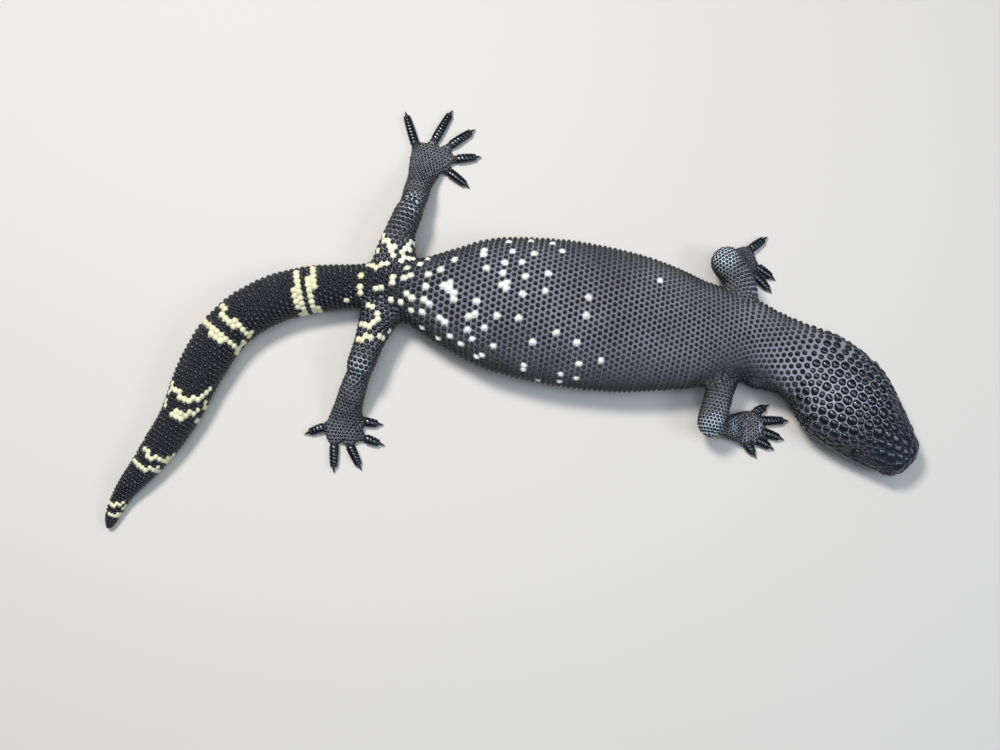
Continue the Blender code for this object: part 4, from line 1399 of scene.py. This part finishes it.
# Directions along and across the skin at a place.
def flatFrame(normal, ahead):
    forward = (ahead - normal * ahead.dot(normal)).normalized()
    return forward, normal.cross(forward)


# Half width and height of a bead as shares of the spacing.
beadSizes = {
    "body": (0.375, 0.37),
    "tail": (0.45, 0.32),
    "leg": (0.462, 0.27),
    "tailFrom": (-30.0, -80.0),
    "belly": {"facing": -0.45, "length": 0.4042, "width": 0.47, "height": 0.9},
    "pale": 1.2,
    "variety": (0.05, 0.05, 0.08),
}


def beadRows(chosen):
    rows = []
    dice = random.Random(21)
    belly = beadSizes["belly"]
    for k in chosen:
        point, normal, _ = surface.nearest(seeds.points[k])
        spacing = seeds.spacing[k]
        forward, across = flatFrame(normal, seeds.ahead[k])
        if seeds.region[k] == "leg":
            share, height = beadSizes["leg"]
        else:
            tail = smoothstep(*beadSizes["tailFrom"], point.x)
            share, height = (a + (b - a) * tail for a, b in zip(beadSizes["body"], beadSizes["tail"]))
        kind = dice.randrange(domeShape["kinds"])
        uneven = [1 + dice.uniform(-most, most) for most in beadSizes["variety"]]
        length = spacing * share * uneven[0]
        width = length * uneven[1]
        high = spacing * height * uneven[2]
        if normal.z < belly["facing"]:
            kind = domeShape["kinds"] + dice.randrange(plateShape["kinds"])
            length = spacing * belly["length"]
            width = spacing * belly["width"]
            high = belly["height"]
        elif pale[k]:
            length *= beadSizes["pale"]
            width *= beadSizes["pale"]
        turned = Matrix((forward, across, normal)).transposed().to_euler("XYZ")
        rows.append((point, turned, (length, width, high), kind, pale[k], seeds.unwrap[k]))
    return rows


def beadPiece(name, chosen, tree, sockets):
    rows = beadRows(chosen)
    mesh = bpy.data.meshes.new(name + "Points")
    mesh.from_pydata([tuple(row[0] * mm) for row in rows], [], [])
    for attribute, values in (
        ("turn", [c for row in rows for c in row[1]]),
        ("size", [c * mm for row in rows for c in row[2]]),
        ("root", [c for row in rows for c in (*row[5], 0.0)]),
    ):
        setAttribute(mesh, attribute, values, "FLOAT_VECTOR", "vector")
    setAttribute(mesh, "kind", [row[3] for row in rows], "INT")
    setAttribute(mesh, "pale", [row[4] for row in rows])
    piece = linked(name, mesh)
    modifier = piece.modifiers.new("beads", "NODES")
    modifier.node_group = tree
    for socket, value in zip(sockets, (1.0, bakePatch)):
        modifier[socket] = value
    graph = bpy.context.evaluated_depsgraph_get()
    made = bpy.data.meshes.new_from_object(piece.evaluated_get(graph), depsgraph=graph)
    piece.modifiers.remove(modifier)
    piece.data = made
    made.name = name
    keepAboveFloor(made)
    return piece


def beadName(k):
    point = seeds.points[k]
    if seeds.region[k] == "leg":
        side = "Left" if point.y > (0.0 if point.x > 0 else 10.0) else "Right"
        return ("beadsFrontLeg" if point.x > 0 else "beadsHindLeg") + side
    if surface.nearest(point)[1].z < beadSizes["belly"]["facing"]:
        parts = ((75.0, "beadsThroat"), (-75.0, "beadsBelly"), (-math.inf, "beadsUnderTail"))
    else:
        parts = ((90.0, "beadsNeck"), (12.0, "beadsBack"), (-75.0, "beadsHips"), (-math.inf, "beadsTail"))
    return next(name for start, name in parts if point.x > start)


def beadPieces():
    collection = beadTemplates()
    tree, sockets = beadTree(collection, beadFinish)
    groups = {}
    for k, region in enumerate(seeds.region):
        if region != "head":
            groups.setdefault(beadName(k), []).append(k)
    pieces = [beadPiece(name, chosen, tree, sockets) for name, chosen in sorted(groups.items())]
    for shape in list(collection.objects):
        bpy.data.objects.remove(shape, do_unlink=True)
    bpy.data.collections.remove(collection)
    return pieces


beads = beadPieces()
print("beads", {piece.name: triangles(piece) for piece in beads})


# Head plates: each fills its share of the head between its neighbours, rounded towards the back.
headPlateLook = {
    "directions": 18,
    "rings": ((1.0, -0.5), (0.985, 0.12), (0.9, 0.5), (0.72, 0.78), (0.45, 0.94), (0.2, 1.0)),
    "reach": ((0.0, 1.05), (24.0, 0.95), (34.0, 0.7), (50.0, 0.6), (66.0, 0.5), (84.0, 0.42)),
    "seams": ((0.0, 0.2), (16.0, 0.26), (30.0, 0.44), (45.0, 0.56), (62.0, 0.7), (84.0, 0.9)),
    "heights": ((0.0, 0.22), (12.0, 0.3), (24.0, 0.48), (40.0, 0.58), (84.0, 0.66)),
    "most": ((0.0, 0.55), (12.0, 0.9), (24.0, 1.35), (84.0, 1.45)),
    "least": 0.35,
    "neighbours": 2.1,
    "lipSeam": 0.8,
    "holes": (("eye", 6.2, (0.0,)), ("nostril", 3.4, (0.0,)), ("ear", 3.6, (-2.2, 0.0, 2.2))),
    "clear": (("nostril", 0.05), ("ear", 0.05)),
    "paintedBlueSheen": ((46.0, 14.0, 1.0), (100.0, 60.0, 0.45)),  # ends, is full, how much painted bluish sheen
}


def overMouth(point):
    behind = behindTip(point)
    return point.z > mouthHeight(behind) or behind > headShape["mouthLine"][-1][0]


def plateOutline(k, tree):
    look = headPlateLook
    point, normal, _ = uncreased.nearest(seeds.points[k])
    forward, across = flatFrame(normal, seeds.ahead[k])
    spacing = seeds.spacing[k]
    behind = behindTip(point)
    turns = [2 * math.pi * n / look["directions"] for n in range(look["directions"])]
    reach = [spacing * readTable(look["reach"], behind)] * look["directions"]
    seam = readTable(look["seams"], behind)
    above = overMouth(point)
    others = [other for _, other, _ in tree.find_range(point, spacing * look["neighbours"])]
    near = [(seeds.points[other], seeds.spacing[other]) for other in others]
    for name, size, lifts in look["holes"]:
        for centre in features[name]:
            if (centre - point).length < 14.0:
                near += [(centre + up * lift, size) for lift in lifts]
    for other, size in near:
        offset = other - point
        distance = offset.length
        flat = Vector((offset.dot(forward), offset.dot(across)))
        if flat.length < 0.45 * distance or distance < 1e-3:
            continue
        flat = flat.normalized() * distance
        middle = (distance**2 + (spacing / 2) ** 2 - (size / 2) ** 2) / 2
        gap = look["lipSeam"] if overMouth(other) != above else seam
        for n, turn in enumerate(turns):
            toward = flat.x * math.cos(turn) + flat.y * math.sin(turn)
            if toward > 0.05 * distance:
                reach[n] = min(reach[n], (middle - gap / 2 * distance) / toward)
    for n, turn in enumerate(turns):
        toward = forward * math.cos(turn) + across * math.sin(turn)
        while reach[n] > look["least"] and inOpening(point + toward * reach[n], look["clear"]):
            reach[n] *= 0.85
    return point, normal, forward, across, [max(r, look["least"]) for r in reach]


def headPlates():
    look = headPlateLook
    tree = treeOf(seeds.points)
    count = look["directions"]
    points = []
    faces = []
    flats = []
    snout = []
    for k, region in enumerate(seeds.region):
        if region != "head":
            continue
        point, normal, forward, across, reach = plateOutline(k, tree)
        smooth = [0.6 * reach[n] + 0.2 * (reach[n - 1] + reach[(n + 1) % count]) for n in range(count)]
        behind = behindTip(point)
        mean = sum(smooth) / count
        height = min(readTable(look["most"], behind), mean * readTable(look["heights"], behind))
        left, low = seeds.unwrap[k]
        faces += closedStack(len(points), len(look["rings"]), count, True)
        for share, lift in look["rings"]:
            for n in range(count):
                turn = 2 * math.pi * n / count
                spread = (forward * math.cos(turn) + across * math.sin(turn)) * (smooth[n] * share)
                base, way, _ = uncreased.nearest(point + spread)
                way = (way + normal).normalized()
                points.append(base + way * (lift * height if lift > 0 else lift))
                size = share * 0.5 * bakePatch
                flats.append((left + math.cos(turn) * size, low + math.sin(turn) * size))
        points.append(point + normal * height * 1.02)
        flats.append((left, low))
        fromTip = behindTip(seeds.points[k])
        # Painted bluish sheen, fullest at the snout and weaker over the rest of the head.
        paintedBlueSheen = max(most * smoothstep(end, full, fromTip) for end, full, most in look["paintedBlueSheen"])
        snout += [paintedBlueSheen] * (len(points) - len(snout))
    piece = meshPiece("headPlates", points, faces, beadFinish)
    setAttribute(piece.data, "pale", [0.0] * len(points))
    setAttribute(piece.data, "snout", snout)
    setBakeMap(piece.data, flats)
    return piece


plates = headPlates()
print("head plates", triangles(plates))


# Digits: broad plates that wrap the top and sides of each digit, one behind the other.
digitPlateLook = {
    "spacing": 2.2,
    "reach": 118.0,
    "around": 12,
    "rise": 0.27,
    "start": 8.0,
    "profile": ((0.02, -0.3), (0.05, 0.66), (0.2, 0.97), (0.55, 1.0), (0.82, 0.86), (0.9, 0.5), (0.93, -0.3)),
    # Sheen: the share of painted bluish sheen in the digit plates' colour.
    "sheen": 0.4,
}


def digitPlates():
    look = digitPlateLook
    around = look["around"]
    columns = around + 1
    points = []
    faces = []
    flats = []

    def plate(track, row, step, corner):
        offset = len(points)
        for share, lift in look["profile"]:
            s = min(track.length - 0.12, look["start"] + (row + share) * step)
            for k in range(columns):
                side = 2 * k / around - 1
                edge = 1.0 if abs(side) < 0.99 else -0.4
                grow = -0.2 + look["rise"] * (lift * edge if lift > 0 else lift)
                points.append(track.ring(s, [math.radians(look["reach"]) * side], grow)[0])
                left = corner[0] + s * flatScale
                flats.append((left + (share - 0.5) * bakePatch, corner[1] + side * 0.5 * bakePatch))
        lows = [offset + ring * columns for ring in range(len(look["profile"]))]
        for a, b in zip(lows, lows[1:]):
            faces.extend([(a + k, b + k, b + k + 1, a + k + 1) for k in range(around)])
        a, b = lows[0], lows[-1]
        faces.extend([(a + k, a + k + 1, b + k + 1, b + k) for k in range(around)])
        faces.append(tuple(reversed(lows)))
        faces.append(tuple(low + around for low in lows))

    for name in legShapes:
        for number, track in enumerate(digitTracks[name]):
            rows = max(2, round((track.length - look["start"]) / look["spacing"]))
            step = (track.length - look["start"]) / rows
            for row in range(rows):
                plate(track, row, step, flatPlace(name + "Digits", number * 26.0, 12.0))
    piece = closedPiece("digitPlates", points, faces, beadFinish, pale=0.0, snout=look["sheen"])
    setBakeMap(piece.data, flats)
    keepAboveFloor(piece.data)
    return piece


toePlates = digitPlates()
print("digit plates", triangles(toePlates))


# Claws: short hooks, thicker above than below.
clawLook = {"sides": 12, "rings": 9, "wide": 0.82, "high": 1.3, "thinnest": 0.05}


def claws():
    sides = clawLook["sides"]
    points = []
    faces = []
    for leg in legShapes.values():
        for root, tip in leg["digits"]:
            start, away, length = digitLine(root, tip)
            start += away * (length - digitShape["clawLength"] - 1.0)
            side = Vector((-away.y, away.x, 0))
            faces += closedStack(len(points), clawLook["rings"], sides)
            for ring in range(clawLook["rings"]):
                t = ring / (clawLook["rings"] - 1)
                thick = max((1 - t**1.6) ** 0.8, clawLook["thinnest"])
                wide = clawLook["wide"] * digitShape["clawHalfWidth"] * thick
                high = clawLook["high"] * thick
                centre = start + away * ((digitShape["clawLength"] + 0.9) * t)
                centre.z = 2.6 + 0.4 * math.sin(t * 2.2) - 2.0 * t**2
                for k in range(sides):
                    turn = 2 * math.pi * k / sides
                    point = centre + side * math.cos(turn) * wide + up * math.sin(turn) * high
                    point.z = max(point.z, 0.05)
                    points.append(point)
    return closedPiece("claws", points, faces, clawFinish)


clawPiece = claws()


# Eyes, deep in their sockets, and lids that close round them to an almond.
eyeLook = {
    "radius": 2.7,
    "sunk": 2.3,
    "openLength": 2.35,
    "openHeight": 1.5,
    "sharpness": 1.5,
    "outer": 3.5,
    "around": 60,
    "bumps": (14, 0.1),
}


def eyeFrame(centre):
    place, outward, _ = uncreased.nearest(centre)
    forward, lift = flatFrame(outward, headAhead)
    return place, outward, forward, -lift if lift.z < 0 else lift


def eyes():
    builder = bmesh.new()
    size = {"u_segments": 32, "v_segments": 20, "radius": eyeLook["radius"] * mm}
    for centre in features["eye"]:
        place, outward, _, _ = eyeFrame(centre)
        matrix = Matrix.Translation((place - outward * eyeLook["sunk"]) * mm)
        bmesh.ops.create_uvsphere(builder, matrix=matrix, **size)
    mesh = bpy.data.meshes.new("eyes")
    builder.to_mesh(mesh)
    builder.free()
    mesh.shade_smooth()
    mesh.materials.append(eyeFinish)
    return linked("eyes", mesh)


def lids():
    look = eyeLook
    around = look["around"]
    power = look["sharpness"]
    points = []
    faces = []
    for centre in features["eye"]:
        place, outward, forward, lift = eyeFrame(centre)
        ball = place - outward * look["sunk"]
        offset = len(points)
        for k in range(around):
            turn = 2 * math.pi * k / around
            cosine = math.cos(turn)
            sine = math.sin(turn)
            gap = (abs(cosine) / look["openLength"]) ** power + (abs(sine) / look["openHeight"]) ** power
            opening = gap ** (-1 / power)
            spoke = forward * cosine + lift * sine
            outer = look["outer"] * (1.0 + 0.08 * abs(cosine))
            number, depth = look["bumps"]
            rim = 1 + depth * math.sin(turn * number)

            def onBall(reach, over):
                high = math.sqrt(max(0.0, look["radius"] ** 2 - reach**2))
                return ball + spoke * reach + outward * (high + over)

            base = uncreased.nearest(place + spoke * outer)[0]
            profile = [
                onBall(opening + 0.12, -0.25),
                onBall(opening, 0.12),
                onBall(opening + 0.06, 0.36 * rim),
                onBall(opening + 0.3, 0.5 * rim),
                onBall(opening + 0.62, 0.4),
                onBall(opening + 0.78, 0.3),
                onBall(opening * 0.4 + outer * 0.6, 0.0).lerp(base, 0.5) + outward * 0.3,
                base + outward * 0.3,
                base + spoke * 0.3 - outward * 0.5,
                base - outward * 1.6,
            ]
            count = len(profile)
            points += profile
        for k in range(around):
            a = offset + k * count
            b = offset + (k + 1) % around * count
            faces += [(a + m, a + (m + 1) % count, b + (m + 1) % count, b + m) for m in range(count)]
    return closedPiece("lids", points, faces, beadFinish, pale=0.0)


eyePiece = eyes()
lidPiece = lids()


# Nostrils and ears: a soft rim round a dark hollow. Its profile is shares of the way out, and heights.
openingLook = {
    "nostril": {"hole": (1.05, 0.95), "deep": 1.9},
    "ear": {"hole": (1.15, 2.9), "deep": 1.5},
    "profile": ((1.0, -0.7), (1.0, 0.12), (0.62, 0.42), (0.3, 0.4), (0.05, 0.2), (0.0, -0.1)),
    "bottom": -0.08,
    "around": 28,
}


def openings():
    points = []
    faces = []
    around = openingLook["around"]
    for kind in ("nostril", "ear"):
        look = openingLook[kind]
        rows = openingLook["profile"] + ((openingLook["bottom"], -look["deep"]),)
        count = len(rows)
        for centre in features[kind]:
            place, outward, forward, lift = eyeFrame(centre)
            offset = len(points)
            for k in range(around):
                turn = 2 * math.pi * k / around
                for share, rise in rows:
                    sizes = zip(look["hole"], openingReach[kind])
                    wide, tall = (inner + (outer - inner) * share for inner, outer in sizes)
                    spot = place + forward * (math.cos(turn) * wide) + lift * (math.sin(turn) * tall)
                    base = uncreased.nearest(spot)[0] if share > 0 else spot
                    points.append(base + outward * rise)
            points.append(place - outward * look["deep"])
            for k in range(around):
                a = offset + k * count
                b = offset + (k + 1) % around * count
                faces += [(a + m, a + m + 1, b + m + 1, b + m) for m in range(count - 1)]
                faces.append((a + count - 1, len(points) - 1, b + count - 1))
            faces.append(tuple(offset + k * count for k in range(around)))
    return closedPiece("openings", points, faces, beadFinish, pale=0.0)


openingPiece = openings()


# A pale floor and soft studio light. Lights: name, place in metres, width, power and colour.
studio = {
    "lights": (
        ("key", (-0.35, 0.4, 1.1), 0.26, 12.5, (1.0, 0.985, 0.96)),
        ("sky", (0.1, -0.1, 1.6), 0.9, 11.0, (0.72, 0.86, 1.0)),
        ("fill", (0.85, -0.3, 1.0), 0.45, 4.5, (0.72, 0.86, 1.0)),
    ),
    "world": {"Color": (0.74, 0.86, 1.0, 1.0), "Strength": 0.09},
}


def makeStudio():
    mesh = bpy.data.meshes.new("floor")
    mesh.from_pydata([(-4, -4, 0), (4, -4, 0), (4, 4, 0), (-4, 4, 0)], [], [(0, 1, 2, 3)])
    mesh.materials.append(plainMaterial("floor"))
    linked("floor", mesh)
    for name, place, size, power, colour in studio["lights"]:
        data = bpy.data.lights.new(name, "AREA")
        data.size = size
        data.energy = power
        data.color = colour
        light = linked(name, data)
        light.location = place
        light.rotation_euler = (-Vector(place)).to_track_quat("-Z", "Y").to_euler()
    world = bpy.data.worlds.new("studio")
    world.use_nodes = True
    feed(world.node_tree, world.node_tree.nodes["Background"], studio["world"])
    bpy.context.scene.world = world
    bpy.context.scene.view_settings.view_transform = "Standard"


makeCamera(cameraPlace)
makeStudio()


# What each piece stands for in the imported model.
def handOver():
    nodes = list(frame["nodes"])
    eyeNodes = [name for name in nodes if name.startswith("eye")]
    clawNodes = [name for name in nodes if "_claw_" in name]
    fleshNodes = [name for name in nodes if name not in eyeNodes and name not in clawNodes]
    for piece in [skin, plates, toePlates, clawPiece, eyePiece, lidPiece, openingPiece] + beads:
        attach(piece, "root")
    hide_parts(*fleshNodes)
    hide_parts(*clawNodes)
    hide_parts(*eyeNodes)


handOver()
print("pieces done")
